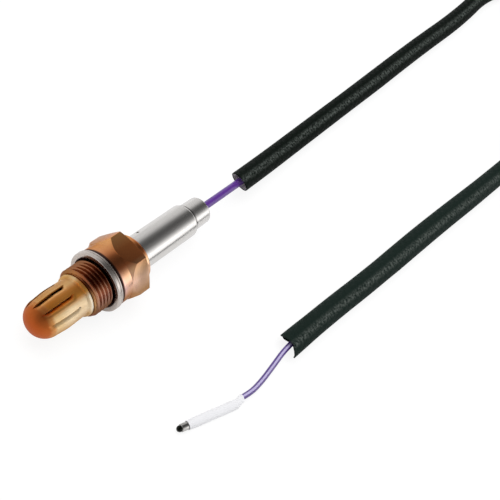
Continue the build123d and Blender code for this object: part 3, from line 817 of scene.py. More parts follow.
# ------------------------------------------------------------------ louvred shield
@dataclass
class LouvredShield:
    """Deep-drawn protective tube: domed end, ring of lanced louvres, bead and skirt."""

    corner_centre: float = 6.39
    corner_offset: float = 0.55
    corner_radius: float = 6.3
    crown_radius: float = 8.0
    wall: float = 0.55
    louvres: int = 9
    louvre_start: float = 2.6
    louvre_end: float = 16.2
    front_ramp: float = 2.6
    rear_ramp: float = 1.5
    louvre_depth: float = 1.4
    curl: float = 1.25               # 1 pushes a louvre in straight, and more hollows it
    tab_angle: float = 17.0          # degrees that a louvre takes up of its share of the tube
    first_angle: float = 59.5        # bearing of the first louvre's free edge
    # Where the skin's columns stand, as shares of the tab and of the wall beside it
    tab_columns: tuple[float, ...] = (0.0, 0.06, 0.15, 0.27, 0.4, 0.55, 0.7, 0.85, 1.0)
    wall_columns: tuple[float, ...] = (0.12, 0.27, 0.44, 0.6, 0.76, 0.88, 0.96, 1.0)
    crown_facets: int = 4
    corner_facets: int = 16
    facet: float = 0.35              # length of the skin's facets along the tube
    seam: float = 0.004              # distance below which two sectors' edges are joined
    edge: float = 0.09               # rounding of the lanced edges
    crease: float = 50.0             # angle in degrees from which an edge stays sharp
    tube: tuple[tuple[float, float], ...] = (
        (8.2, 7.0), (9.9, 7.15), (11.3, 7.23), (13.0, 7.2), (14.8, 7.12), (16.5, 7.06), (18.9, 7.03),
    )
    bead: tuple[Corner, ...] = ((19.25, 7.05, 0.25), (19.45, 7.75, 0.4), (20.75, 7.85, 0.3), (20.8, 7.0, 0.1))
    skirt_end: tuple[float, float] = (21.4, 6.95)

    def profile(self) -> list[Vector]:
        """Run the outer skin's outline from the tip to the skirt.

        Returns:
            (station, radius) points, close together where the louvres are.
        """
        turn = math.atan2(self.corner_offset, self.crown_radius - self.corner_centre)
        crown, steps = self.crown_radius, self.crown_facets
        points = [Vector((crown * (1 - math.cos(turn * i / steps)), crown * math.sin(turn * i / steps)))
                  for i in range(steps + 1)]
        for i in range(1, self.corner_facets + 1):
            angle = turn + (math.pi / 2 - turn) * i / self.corner_facets
            points.append(Vector((self.corner_centre - self.corner_radius * math.cos(angle),
                                  self.corner_offset + self.corner_radius * math.sin(angle))))
        anchors = [points[-1]] + [Vector(p) for p in self.tube]
        for before, after in zip(anchors, anchors[1:]):
            count = max(2, round((after.x - before.x) / self.facet))
            points += [before.lerp(after, (i + 1) / count) for i in range(count)]
        chain = [(points[-1].x, points[-1].y, 0.0), *self.bead, (*self.skirt_end, 0.0)]
        points += [Vector(p) for p in rounded(chain, 3, closed=False)[1:]]
        return points

    def push(self, station: float, across: float) -> float:
        """How far the skin is pushed in.

        Args:
            station: place along the sensor.
            across: 0 at the louvre's free edge and 1 at its hinge.

        Returns:
            The depth in millimetres.
        """
        rise = smoothstep((station - self.louvre_start) / self.front_ramp)
        fall = smoothstep((self.louvre_end - station) / self.rear_ramp)
        return self.louvre_depth * (rise * fall) * max(0.0, 1 - across) ** self.curl

    def sector(self) -> bpy.types.Mesh:
        """Make one louvre with the wall beside it.

        Returns:
            A strip of skin round the X axis, from the free edge over the tab to the next free edge.
        """
        rest = 360 / self.louvres - self.tab_angle
        angles = [share * self.tab_angle for share in self.tab_columns]
        angles += [self.tab_angle + rest * share for share in self.wall_columns]
        profile = self.profile()
        vertices = []
        for index, point in enumerate(profile):
            ahead = profile[min(index + 1, len(profile) - 1)] - profile[max(index - 1, 0)]
            inward = Vector((ahead.y, -ahead.x)).normalized()
            for angle in angles:
                moved = point + inward * self.push(point.x, angle / self.tab_angle)
                radius, turn = max(moved.y, 0.0), math.radians(angle)
                vertices.append(Vector((moved.x, radius * math.cos(turn), radius * math.sin(turn))) * MM)
        width = len(angles)
        corners = [row * width + col for row in range(len(profile) - 1) for col in range(width - 1)]
        faces = [[corner, corner + 1, corner + width + 1, corner + width] for corner in corners]
        mesh = bpy.data.meshes.new("louvre_sector")
        mesh.from_pydata(vertices, [], faces)
        return mesh

    def ring_recipe(self) -> tuple[Recipe, bpy.types.Node]:
        """Write the recipe that repeats the sector round the axis and joins the copies.

        Returns:
            The recipe and its last node.
        """
        recipe = Recipe("ring_of_louvres")
        count = recipe.size("Louvres", "NodeSocketInt")
        start = recipe.size("First angle")
        seam = recipe.size("Seam width")
        place = recipe.size("Place", "NodeSocketVector")
        tree = recipe.tree
        stations = add_node(tree, "GeometryNodeMeshLine", {"Count": count, "Offset": (0.0, 0.0, 0.0)})
        index = add_node(tree, "GeometryNodeInputIndex")
        step = add_node(tree, "ShaderNodeMath", {0: 2 * math.pi, 1: count}, operation="DIVIDE")
        turn = add_node(tree, "ShaderNodeMath", {0: index, 1: step, 2: start}, operation="MULTIPLY_ADD")
        spin = add_node(tree, "ShaderNodeCombineXYZ", {"X": turn})
        copies = add_node(tree, "GeometryNodeInstanceOnPoints", {
            "Points": stations, "Instance": recipe.entry.outputs["Geometry"], "Rotation": spin,
        })
        whole = add_node(tree, "GeometryNodeRealizeInstances", {"Geometry": copies})
        joined = add_node(tree, "GeometryNodeMergeByDistance", {"Geometry": whole, "Distance": seam})
        return recipe, add_node(tree, "GeometryNodeTransform", {"Geometry": joined, "Translation": place})

    def build(self) -> bpy.types.Object:
        """Build the shield.

        Returns:
            The dressed piece.
        """
        material = HEAT_TINTED_STEEL.material()
        piece = linked("louvred_shield", self.sector())
        recipe, skin = self.ring_recipe()
        recipe.run(piece, skin, material, {
            "Louvres": self.louvres, "First angle": math.radians(self.first_angle),
            "Seam width": self.seam * MM, "Place": BODY_PLACE.translation,
        })
        wall = piece.modifiers.new("wall", "SOLIDIFY")
        wall.thickness = self.wall * MM
        wall.offset = -1.0
        edge = piece.modifiers.new("edge", "BEVEL")
        edge.width = self.edge * MM
        edge.segments = 2
        edge.limit_method = "ANGLE"
        edge.angle_limit = math.radians(self.crease)
        settle(piece)
        piece.data.polygons.foreach_set("use_smooth", [True] * len(piece.data.polygons))
        piece.data.set_sharp_from_angle(angle=math.radians(self.crease))
        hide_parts("louvre_shield")
        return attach(piece, "root")


# ------------------------------------------------------------------ shell and gasket
@dataclass
class TurnedShell:
    """Machined body: threaded nose, relief, seat collar, wrench hexagon and rolled lip."""

    nose: float = 20.8
    thread_radius: float = 9.0
    nose_chamfer: float = 0.9
    thread_end: float = 28.1
    thread_pitch: float = 1.5
    thread_depth: float = 0.92
    thread_facet: float = 0.06       # length of the blank's facets, which the thread is cut from
    runout: float = 0.6              # blank behind the thread's end, down to the relief
    runout_slope: float = 1.5
    crest_share: float = 0.09        # half of a crest's flat and where the root begins, in pitches
    root_share: float = 0.43
    cut_start: float = 0.03          # from the nose to where the cut begins
    cut_reach: float = 0.55          # from the thread's end to where the cut stops
    relief_radius: float = 8.1
    seat: float = 31.1
    collar_radius: float = 10.95
    collar_end: float = 36.0
    lead_in: float = 2.7
    across_flats: float = 22.0
    corner_rounding: float = 0.18
    hexagon_rear: float = 43.2
    hexagon_end: float = 44.0
    rear_face_radius: float = 10.4
    lip_radius: float = 9.2
    lip_end: float = 48.1
    lip_mouth: float = 7.2
    sleeve_radius: float = 6.43
    shield_radius: float = 7.05
    socket_depth: float = 2.0        # how far in from the lip the sleeve's bore reaches
    # Where columns stand after a corner, and mirrored before the next, and evenly between, in degrees
    corner_columns: tuple[float, ...] = (0.0, 0.2, 0.4, 0.7, 1.2)
    flat_columns: tuple[float, ...] = tuple(3.0 + 2.25 * i for i in range(25))
    crease: float = 32.0             # angle in degrees from which an edge stays sharp

    def hexagon_radius(self, bearing: float) -> float:
        """Distance from the axis to the hexagon, its corners rounded.

        Args:
            bearing: angle in degrees from +Y towards +Z; corners lie at multiples of 60.

        Returns:
            The radius in millimetres.
        """
        off_flat = math.radians(bearing % 60 - 30)
        half_side = math.radians(30)
        flat = self.across_flats / 2
        centre = (flat - self.corner_rounding) / math.cos(half_side)
        off_corner = half_side - abs(off_flat)
        lift = centre * math.sin(off_corner)
        if lift > self.corner_rounding * math.sin(half_side):
            return flat / math.cos(off_flat)
        return centre * math.cos(off_corner) + math.sqrt(self.corner_rounding ** 2 - lift ** 2)

    def bearings(self) -> list[float]:
        """Space the columns round the axis.

        Returns:
            Their angles in degrees, closer together at the hexagon's corners.
        """
        mirrored = [60 - angle for angle in reversed(self.corner_columns[1:])]
        one = [*self.corner_columns, *self.flat_columns, *mirrored]
        return [corner + angle for corner in range(0, 360, 60) for angle in one]

    def column(self, bearing: float) -> Outline:
        """Outline of the shell at one bearing.

        Args:
            bearing: angle in degrees.

        Returns:
            Closed (station, radius) outline, with the same number of points at each bearing.
        """
        corner = self.across_flats / math.sqrt(3)
        reach = self.hexagon_radius(bearing)
        slope = self.lead_in / (corner - self.collar_radius)
        flat_start = self.collar_end + (reach - self.collar_radius) * slope
        rear_slope = (self.hexagon_end - self.hexagon_rear) / (corner - self.rear_face_radius)
        flat_end = self.hexagon_rear + (corner - reach) * rear_slope
        blank_end = self.thread_end + self.runout
        stretch = blank_end - self.nose
        count = round(stretch / self.thread_facet)
        blank: list[Corner] = []
        for i in range(count + 1):
            station = self.nose + stretch * i / count
            lead = self.thread_radius - self.nose_chamfer + (station - self.nose)
            tail = self.relief_radius + (blank_end - station) * self.runout_slope
            blank.append((station, min(self.thread_radius, lead, tail), 0.0))
        bore_end = self.lip_end - self.socket_depth
        corners: list[Corner] = [
            (self.nose, self.shield_radius, 0.0), *blank,
            (self.seat, self.relief_radius, 0.25), (self.seat, self.collar_radius - 0.75, 0.1),
            (self.seat + 0.85, self.collar_radius, 0.3), (self.collar_end - 0.12, self.collar_radius, 0.05),
            (self.collar_end, self.collar_radius - 0.12, 0.04), (flat_start, reach, 0.1),
            (flat_end, reach, 0.1), (self.hexagon_end, self.rear_face_radius, 0.12),
            (self.hexagon_end, self.lip_radius, 0.15), (self.lip_end - 1.6, self.lip_radius - 0.1, 0.9),
            (self.lip_end, self.lip_mouth, 0.35), (self.lip_end, self.sleeve_radius, 0.0),
            (bore_end, self.sleeve_radius, 0.0), (bore_end, self.shield_radius, 0.0),
        ]
        return rounded(corners, 3)

    def thread_recipe(self) -> tuple[Recipe, bpy.types.Node]:
        """Write the recipe that cuts a right-hand thread into the turned blank.

        Returns:
            The recipe and its last node.
        """
        recipe = Recipe("cut_thread")
        pitch = recipe.size("Pitch")
        depth = recipe.size("Depth")
        outside = recipe.size("Outside radius")
        height = recipe.size("Axis height")
        first = recipe.size("First station")
        last = recipe.size("Last station")
        tree = recipe.tree
        parts = add_node(tree, "ShaderNodeSeparateXYZ", {0: add_node(tree, "GeometryNodeInputPosition")})
        along, side, up = parts.outputs
        rise = add_node(tree, "ShaderNodeMath", {0: up, 1: height}, operation="SUBTRACT")
        arm = add_node(tree, "ShaderNodeCombineXYZ", {"Y": side, "Z": rise})
        radius = add_node(tree, "ShaderNodeVectorMath", {0: arm}, operation="LENGTH").outputs["Value"]
        bearing = add_node(tree, "ShaderNodeMath", {0: rise, 1: side}, operation="ARCTAN2")
        turns = add_node(tree, "ShaderNodeMath", {0: bearing, 1: 2 * math.pi}, operation="DIVIDE")
        pitches = add_node(tree, "ShaderNodeMath", {0: along, 1: pitch}, operation="DIVIDE")
        phase = add_node(tree, "ShaderNodeMath", {0: pitches, 1: turns}, operation="SUBTRACT")
        flank = add_node(tree, "ShaderNodeMath", {0: phase, 1: 0.5}, operation="PINGPONG")
        lift = add_node(tree, "ShaderNodeMapRange", {
            "Value": flank, "From Min": self.crest_share, "From Max": self.root_share,
            "To Min": 1.0, "To Max": 0.0,
        })
        bite = add_node(tree, "ShaderNodeMath", {0: lift, 1: depth}, operation="MULTIPLY")
        cutter = add_node(tree, "ShaderNodeMath", {0: outside, 1: bite}, operation="SUBTRACT")
        cut = add_node(tree, "ShaderNodeMath", {0: radius, 1: cutter}, operation="MINIMUM")
        after = add_node(tree, "ShaderNodeMath", {0: along, 1: first}, operation="GREATER_THAN")
        before = add_node(tree, "ShaderNodeMath", {0: along, 1: last}, operation="LESS_THAN")
        within = add_node(tree, "ShaderNodeMath", {0: after, 1: before}, operation="MULTIPLY")
        ratio = add_node(tree, "ShaderNodeMath", {0: cut, 1: radius}, operation="DIVIDE")
        less = add_node(tree, "ShaderNodeMath", {0: ratio, 1: 1.0}, operation="SUBTRACT")
        pull = add_node(tree, "ShaderNodeMath", {0: less, 1: within}, operation="MULTIPLY")
        move = add_node(tree, "ShaderNodeVectorMath", {0: arm, "Scale": pull}, operation="SCALE")
        blank = recipe.entry.outputs["Geometry"]
        return recipe, add_node(tree, "GeometryNodeSetPosition", {"Geometry": blank, "Offset": move})

    def build(self) -> bpy.types.Object:
        """Turn the blank, cut its thread and dress it.

        Returns:
            The dressed piece.
        """
        material = FLASHED_STEEL.material()
        angles = self.bearings()
        columns = [self.column(angle) for angle in angles]
        mesh = loft("turned_shell", columns, [math.radians(angle) for angle in angles])
        piece = finished("turned_shell", mesh, [material])
        recipe, cut = self.thread_recipe()
        recipe.run(piece, cut, material, {
            "Pitch": self.thread_pitch * MM, "Depth": self.thread_depth * MM,
            "Outside radius": self.thread_radius * MM, "Axis height": AXIS_HEIGHT * MM,
            "First station": station_x(self.nose + self.cut_start),
            "Last station": station_x(self.thread_end + self.cut_reach),
        })
        piece.data.set_sharp_from_angle(angle=math.radians(self.crease))
        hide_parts("shell")
        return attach(piece, "root")


@dataclass
class FoldedGasket:
    """Folded sealing ring against the collar."""

    rear: float = 31.1
    thickness: float = 2.4
    inner_radius: float = 9.35
    outer_radius: float = 11.35
    seam: float = 0.62

    def build(self) -> bpy.types.Object:
        """Build the ring with its rounded folds and the seam between them.

        Returns:
            The dressed piece.
        """
        front = self.rear - self.thickness
        middle = front + self.thickness * self.seam
        corners: list[Corner] = [
            (front, self.inner_radius, 0.45), (front, self.outer_radius - 0.3, 0.4),
            (front + 0.35, self.outer_radius - 0.02, 0.3), (middle - 0.16, self.outer_radius - 0.02, 0.12),
            (middle - 0.02, self.outer_radius - 0.3, 0.03), (middle + 0.02, self.outer_radius - 0.3, 0.03),
            (middle + 0.16, self.outer_radius, 0.12), (self.rear - 0.3, self.outer_radius - 0.02, 0.2),
            (self.rear, self.outer_radius - 0.75, 0.2), (self.rear, self.inner_radius + 0.1, 0.2),
        ]
        piece = lathe("folded_gasket", corners, TINNED_STRIP.material(), sides=160)
        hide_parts("seat_gasket")
        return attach(piece, "root")


# ------------------------------------------------------------------ rear sleeve
@dataclass
class RearSleeve:
    """Drawn stainless sleeve with its vent, stepped down to the neck that grips the grommet."""

    front: float = 42.9
    radius: float = 6.4
    wall: float = 0.45
    shoulder: float = 75.25
    neck_radius: float = 5.25
    end: float = 83.75
    end_rounding: float = 1.0
    mouth_radius: float = 3.7
    vent_radius: float = 0.6
    vent_station: float = 53.0
    vent_angle: float = 41.0
    drill_length: float = 4.0
    grommet_bore: float = 1.42
    grommet_gap: float = 0.05        # between the neck's inside and the grommet
    crease: float = 35.0             # angle in degrees from which an edge stays sharp

    def outline(self) -> list[Corner]:
        """Draw the sleeve's wall, from its front along the outside and back inside.

        Returns:
            (station, radius, fillet) of each corner.
        """
        tube, neck, wall = self.radius, self.neck_radius, self.wall
        return [
            (self.front, tube, 0.05), (self.shoulder - 0.5, tube, 1.4),
            (self.shoulder + 0.15, neck + 0.12, 0.3), (self.end, neck, self.end_rounding),
            (self.end, self.mouth_radius, 0.12), (self.end - wall, self.mouth_radius, 0.12),
            (self.end - wall, neck - wall, 0.6), (self.shoulder, neck - wall, 0.2),
            (self.shoulder - wall, tube - wall, 1.0), (self.front, tube - wall, 0.05),
        ]

    def drill(self, piece: bpy.types.Object) -> None:
        """Cut the vent through the wall.

        Args:
            piece: the sleeve.
        """
        tool = bpy.data.meshes.new("vent_drill")
        shape = bmesh.new()
        bmesh.ops.create_cone(shape, cap_ends=True, segments=28, radius1=self.vent_radius * MM,
                              radius2=self.vent_radius * MM, depth=self.drill_length * MM)
        shape.to_mesh(tool)
        shape.free()
        tool.transform(BODY_PLACE @ Matrix.Rotation(math.radians(self.vent_angle - 90), 4, "X")
                       @ Matrix.Translation((self.vent_station * MM, 0.0, self.radius * MM)))
        cutter = linked("vent_drill", tool)
        hole = piece.modifiers.new("vent", "BOOLEAN")
        hole.operation = "DIFFERENCE"
        hole.solver = "EXACT"
        hole.object = cutter
        settle(piece)
        bpy.data.objects.remove(cutter)

    def build(self) -> list[bpy.types.Object]:
        """Build the sleeve and the grommet in its neck.

        Returns:
            The dressed pieces.
        """
        sleeve = lathe("drawn_sleeve", self.outline(), TUMBLED_STAINLESS.material(), sides=160)
        self.drill(sleeve)
        sleeve.data.set_sharp_from_angle(angle=math.radians(self.crease))
        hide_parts("rear_sleeve")
        outside, bore = self.neck_radius - self.wall - self.grommet_gap, self.grommet_bore
        grommet = lathe("neck_grommet", [
            (self.shoulder + 0.2, bore, 0.1), (self.shoulder + 0.2, outside, 0.3),
            (self.end - 0.7, outside, 0.5), (self.end - 0.9, 3.3, 0.3), (self.end - 1.3, 2.4, 0.5),
            (self.end - 1.1, bore, 0.15),
        ], FLUORO_RUBBER.material(), sides=96)
        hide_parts("cable_grommet")
        return [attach(sleeve, "root"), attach(grommet, "root")]


# ------------------------------------------------------------------ lead
@dataclass
class Route:
    """A cord's smooth line over its control points, in metres."""

    name: str
    points: list[tuple[float, float, float]]
    resolution: int = 32

    def centreline(self) -> list[Vector]:
        """Read the line from a second-degree NURBS spline.

        Returns:
            Points along it, close together.
        """
        curve = bpy.data.curves.new(self.name, "CURVE")
        curve.dimensions = "3D"
        curve.resolution_u = self.resolution
        spline = curve.splines.new("NURBS")
        spline.points.add(len(self.points) - 1)
        for control, place in zip(spline.points, self.points):
            control.co = (*place, 1.0)
        spline.order_u = 3
        spline.use_endpoint_u = True
        holder = linked(self.name, curve)
        line = bpy.data.meshes.new_from_object(holder.evaluated_get(bpy.context.evaluated_depsgraph_get()))
        points = [vertex.co.copy() for vertex in line.vertices]
        bpy.data.objects.remove(holder)
        bpy.data.curves.remove(curve)
        bpy.data.meshes.remove(line)
        return points


class Spine:
    """Places along a centreline, by distance, with an upright frame at each."""

    REACH = 0.0012      # metres each way over which a direction is taken

    def __init__(self, points: Sequence[Vector]) -> None:
        """Measure the line.

        Args:
            points: the centreline.
        """
        self.points = [points[0]]
        self.reach = [0.0]
        for point in points[1:]:
            step = (point - self.points[-1]).length
            if step > 1e-6:
                self.points.append(point)
                self.reach.append(self.reach[-1] + step)

    @property
    def length(self) -> float:
        """The line's length in metres."""
        return self.reach[-1]

    def at(self, distance: float) -> tuple[Vector, Vector]:
        """Find a place on the line.

        Args:
            distance: metres from the start; beyond an end the line runs straight on.

        Returns:
            The place and the direction there.
        """
        low, high = 0, len(self.points) - 1
        while high - low > 1:
            middle = (low + high) // 2
            if self.reach[middle] <= distance:
                low = middle
            else:
                high = middle
        before, after = self.points[low], self.points[high]
        heading = (after - before).normalized()
        return before + heading * (distance - self.reach[low]), heading

    def frame(self, distance: float) -> tuple[Vector, Vector, Vector]:
        """Find the place with its sideways and upward directions.

        Args:
            distance: metres from the start.

        Returns:
            The place, the direction to its side and the one above it.
        """
        place = self.at(distance)[0]
        heading = (self.at(distance + self.REACH)[0] - self.at(distance - self.REACH)[0]).normalized()
        side = heading.cross(Vector((0.0, 0.0, 1.0))).normalized()
        return place, side, side.cross(heading)


Section = Callable[[float, float], tuple[float, float, float]]


@dataclass(frozen=True)
class Ring:
    """One ring of a swept skin."""

    distance: float           # metres from the start
    section: Section          # (distance, bearing) to the side offset, the rise and where it stands
    finish: int = 0           # material of the band that follows it


def sweep(name: str, spine: Spine, rings: Sequence[Ring], sides: int) -> bpy.types.Mesh:
    """Sweep rings along a spine and close both ends, with UVs: once round in U, metres along in V.

    Args:
        name: the mesh's name.
        spine: the centreline.
        rings: the rings, in order.
        sides: points round each ring.

    Returns:
        The mesh.
    """
    vertices, uvs, faces, finishes = [], [], [], []
    for ring in rings:
        for index in range(sides):
            across, rise, where = ring.section(ring.distance, 2 * math.pi * index / sides)
            place, side, above = spine.frame(where)
            vertices.append(place + side * across + above * rise)
    for row, (ring, ahead) in enumerate(zip(rings, rings[1:])):
        near, far = row * sides, (row + 1) * sides
        for index in range(sides):
            beside = (index + 1) % sides
            faces.append([near + index, near + beside, far + beside, far + index])
            uvs += [(index / sides, ring.distance), ((index + 1) / sides, ring.distance),
                    ((index + 1) / sides, ahead.distance), (index / sides, ahead.distance)]
            finishes.append(ring.finish)
    for row in (0, len(rings) - 1):
        faces.append([row * sides + index for index in range(sides)])
        uvs += [(index / sides, rings[row].distance) for index in range(sides)]
        finishes.append(rings[row - 1 if row else 0].finish)
    mesh = bpy.data.meshes.new(name)
    mesh.from_pydata(vertices, [], faces)
    chart = mesh.uv_layers.new(name="UVMap")
    for loop, place in zip(chart.data, uvs):
        loop.uv = place
    mesh.polygons.foreach_set("material_index", finishes)
    return mesh


@dataclass
class Insulation:
    """One stretch of the insulated wire."""

    name: str
    node: str
    diameter: float
    route: Route
    finish: Finish
    bared_end: float = 0.0         # stretch at the end, inside the boot, stripped to its strands
    bared_share: float = 0.45      # the strands' diameter as a share of the wire's
    facet: float = 0.0006          # length of the skin's facets, in metres
    sides: int = 28

    def build(self) -> tuple[bpy.types.Object, Spine]:
        """Build the wire's round skin.

        Returns:
            The dressed piece and its spine.
        """
        spine = Spine(self.route.centreline())
        radius = self.diameter / 2

        def section(distance: float, bearing: float) -> tuple[float, float, float]:
            """Round section, slimmer where the wire is bare."""
            slim = radius * (self.bared_share if distance > spine.length - self.bared_end + 1e-6 else 1.0)
            return slim * math.sin(bearing), slim * math.cos(bearing), distance

        count = round(spine.length / self.facet)
        rings = [Ring(spine.length * i / count, section) for i in range(count + 1)]
        mesh = sweep(self.name, spine, rings, self.sides)
        piece = finished(self.name, mesh, [self.finish.material()], crease=60)
        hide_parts(self.node)
        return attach(piece, "root"), spine


class EndCut(Enum):
    """The two ends of the braided sleeve, which are cut differently."""

    SENSOR_END = "slanted scissor cut"
    TERMINAL_END = "ragged notch"


@dataclass
class BraidedSleeve:
    """Varnished glass braid over the wire, open at both ends."""

    route: Route
    radius: float = 0.0043                 # this and the next three in metres
    wall: float = 0.0005
    lining: float = 0.016                  # how deep the open ends are modelled
    cut_reach: float = 0.018               # stretch over which the weave takes up a cut
    slant_mean: float = 2.45               # mm behind the end, at the slanted cut's middle
    slant_swing: float = 2.99
    slant_skew: float = 0.2
    slant_bearing: float = 16.5            # degrees from the top to the overhang
    facet: float = 0.0011                  # length of the skin's facets, in metres
    lining_rings: int = 12                 # facets of the lining, bare yarn at the sensor's end
    sides: int = 48
    # Share by which the sleeve lies flat, by distance in metres
    flats: tuple[tuple[float, float], ...] = (
        (0.0, 0.02), (0.03, 0.03), (0.08, 0.045), (0.12, 0.095), (0.19, 0.1), (0.25, 0.03), (0.3, 0.0),
        (0.45, 0.0), (0.515, 0.08), (0.54, 0.11), (0.575, 0.12), (0.59, 0.11), (0.605, 0.075),
        (0.645, 0.065), (0.665, 0.12),
    )
    # Set-back of the notched end in mm by bearing in degrees, 0 at the top
    notch: tuple[tuple[float, float], ...] = (
        (-180, 6.0), (-125, 3.0), (-92, -0.4), (-52, -0.3), (-27, 0.7), (-18, 1.1), (0, 0.85), (38, 0.9),
        (71, 1.7), (90, 2.3), (125, 4.0), (180, 6.0),
    )

    def cut(self, kind: EndCut, bearing: float) -> float:
        """How far the braid's edge lies behind its end.

        Args:
            kind: the end.
            bearing: 0 at the top, in radians.

        Returns:
            The distance in metres.
        """
        if kind is EndCut.SENSOR_END:
            turned = bearing - math.radians(self.slant_bearing)
            swing = self.slant_skew * math.sin(turned) - self.slant_swing * math.cos(turned)
            return (self.slant_mean + swing) * MM
        return between(self.notch, (math.degrees(bearing) + 180) % 360 - 180) * MM

    def stand(self, spine: Spine, distance: float, bearing: float) -> float:
        """Shift a ring near an end so that the last one follows the cut.

        Args:
            spine: the centreline.
            distance: the ring's even distance.
            bearing: angle round the braid.

        Returns:
            The distance at which this point stands.
        """
        from_end = spine.length - distance
        shift = self.cut(EndCut.SENSOR_END, bearing) * max(0.0, 1 - distance / self.cut_reach)
        shift -= self.cut(EndCut.TERMINAL_END, bearing) * max(0.0, 1 - from_end / self.cut_reach)
        return distance + shift

    def build(self) -> bpy.types.Object:
        """Build the sleeve with the lining of its open ends.

        Returns:
            The dressed piece.
        """
        spine = Spine(self.route.centreline())

        def skin(depth: float) -> Section:
            """Choose the section of the braid at a depth.

            Args:
                depth: metres below its outside.

            Returns:
                The section.
            """
            def section(distance: float, bearing: float) -> tuple[float, float, float]:
                """Draw a round section, pressed flat by its share.

                Args:
                    distance: the ring's even distance.
                    bearing: angle round the braid, 0 at the top.

                Returns:
                    The side offset, the rise and the distance at which the point stands.
                """
                flat = between(self.flats, distance)
                across = (self.radius * (1 + flat) - depth) * math.sin(bearing)
                tall = (self.radius * (1 - flat) - depth) * math.cos(bearing)
                return across, tall - self.radius * flat, self.stand(spine, distance, bearing)
            return section

        count, folds = round(spine.length / self.facet), self.lining_rings
        outside, inside = skin(0.0), skin(self.wall)
        rings = [Ring(self.lining * (folds - i) / folds, inside, int(i < folds)) for i in range(folds + 1)]
        rings += [Ring(spine.length * i / count, outside) for i in range(count + 1)]
        # The terminal end's lining keeps the braid's dark finish, painted shade inside the open end.
        rings += [Ring(spine.length - self.lining * i / folds, inside) for i in range(folds + 1)]
        mesh = sweep("braided_sleeve", spine, rings, self.sides)
        materials = [VARNISHED_BRAID.material(), BARE_GLASS_YARN.material()]
        piece = finished("braided_sleeve", mesh, materials, crease=60)
        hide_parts("woven_sleeve")
        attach(piece, "root")
        return piece


# ------------------------------------------------------------------ terminal
@dataclass
class BulletTerminal:
    """White boot over a crimped bullet terminal, at the end of the wire."""

    body_rear: tuple[float, float, float] = (-0.0003, -0.06093, 0.00182)
    turn: float = 16.75            # degrees from -X towards +Y
    neck: float = 3.2              # length of the boot's neck, which bends
    neck_radius: float = 1.5
    neck_facets: int = 5
    boot: float = 20.2
    body_radius: float = 1.8
    hole: float = 1.1              # bore of the boot behind its mouth
    mouth: float = 1.42            # bore of the boot's mouth, and radius of the bullet's rims
    mouth_depth: float = 1.6
    barrel_radius: float = 1.38
    neck_drop: float = 0.1         # how far the whole neck stands aside, with the wire
    drop_start: float = 1.3        # where that starts, in necks from the rear, full one neck nearer
    neck_lean: float = 1.06        # how far its rear bends over to the wire
    lean_curve: float = 1.3        # 1 leans the neck straight, and more curves it
    pin_start: float = 2.64        # from the boot's mouth to where the bullet takes the painted dark reflection

    def place(self) -> Matrix:
        """Stand the terminal at its place.

        Returns:
            From its own stations, 0 at the boot's rear, to the row frame.
        """
        along = Vector((-math.cos(math.radians(self.turn)), math.sin(math.radians(self.turn)), 0.0))
        side = Vector((0.0, 0.0, 1.0)).cross(along)
        turned = Matrix((along, side, Vector((0.0, 0.0, 1.0)))).transposed().to_4x4()
        return Matrix.Translation(Vector(self.body_rear) - along * self.neck * MM) @ turned

    def bend(self, piece: bpy.types.Object) -> None:
        """Bend the boot's neck over to the side where the wire comes in.

        Args:
            piece: the boot.
        """
        place = self.place()
        back = place.inverted()
        for vertex in piece.data.vertices:
            own = back @ vertex.co
            share = own.x / (self.neck * MM)
            lean = self.neck_lean * max(0.0, 1 - share) ** self.lean_curve
            own.y -= (self.neck_drop * smoothstep(self.drop_start - share) + lean) * MM
            vertex.co = place @ own

    def build(self) -> list[bpy.types.Object]:
        """Build the boot and the terminal.

        Returns:
            The dressed pieces.
        """
        place, end, body = self.place(), self.neck + self.boot, self.body_radius
        neck, mouth, barrel = self.neck_radius, self.mouth, self.barrel_radius
        steps = [self.neck * i / self.neck_facets for i in range(1, self.neck_facets)]
        boot = lathe("boot_moulding", [
            (0.0, self.hole, 0.05), (0.0, neck, 0.2), *[(step, neck, 0.0) for step in steps],
            (self.neck, neck + 0.02, 0.2), (self.neck + 0.2, body, 0.5), (end - 3.0, body, 3.0),
            (end, body - 0.14, 0.25), (end, mouth, 0.1), (end - self.mouth_depth, mouth, 0.0),
            (end - self.mouth_depth, self.hole, 0.0), *[(step, self.hole, 0.0) for step in reversed(steps)],
        ], WHITE_VINYL.material(), sides=64, place=place)
        self.bend(boot)
        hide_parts("terminal_boot")
        bullet = lathe("bullet_contact", [
            (end - 3.0, 0.0, 0.0), (end - 3.0, barrel, 0.0), (end - 0.05, barrel, 0.0),
            (end + 0.12, 1.3, 0.1), (end + 0.3, mouth, 0.12), (end + 2.6, mouth, 0.35),
            (end + 2.65, 1.08, 0.05), (end + 2.75, 1.12, 0.1), (end + 3.4, 1.12, 0.55),
            (end + 4.05, 0.62, 0.5), (end + 4.15, 0.0, 0.0),
        ], TINNED_BRASS.material(), sides=64, place=place)
        # The bullet's tip takes a near-black tone, a painted dark reflection.
        bullet.data.materials.append(PIN_DARK_REFLECTION.material())
        back = place.inverted()
        for face in bullet.data.polygons:
            face.material_index = int((back @ face.center).x > (end + self.pin_start) * MM)
        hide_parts("bullet_terminal")
        return [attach(boot, "root"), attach(bullet, "root")]


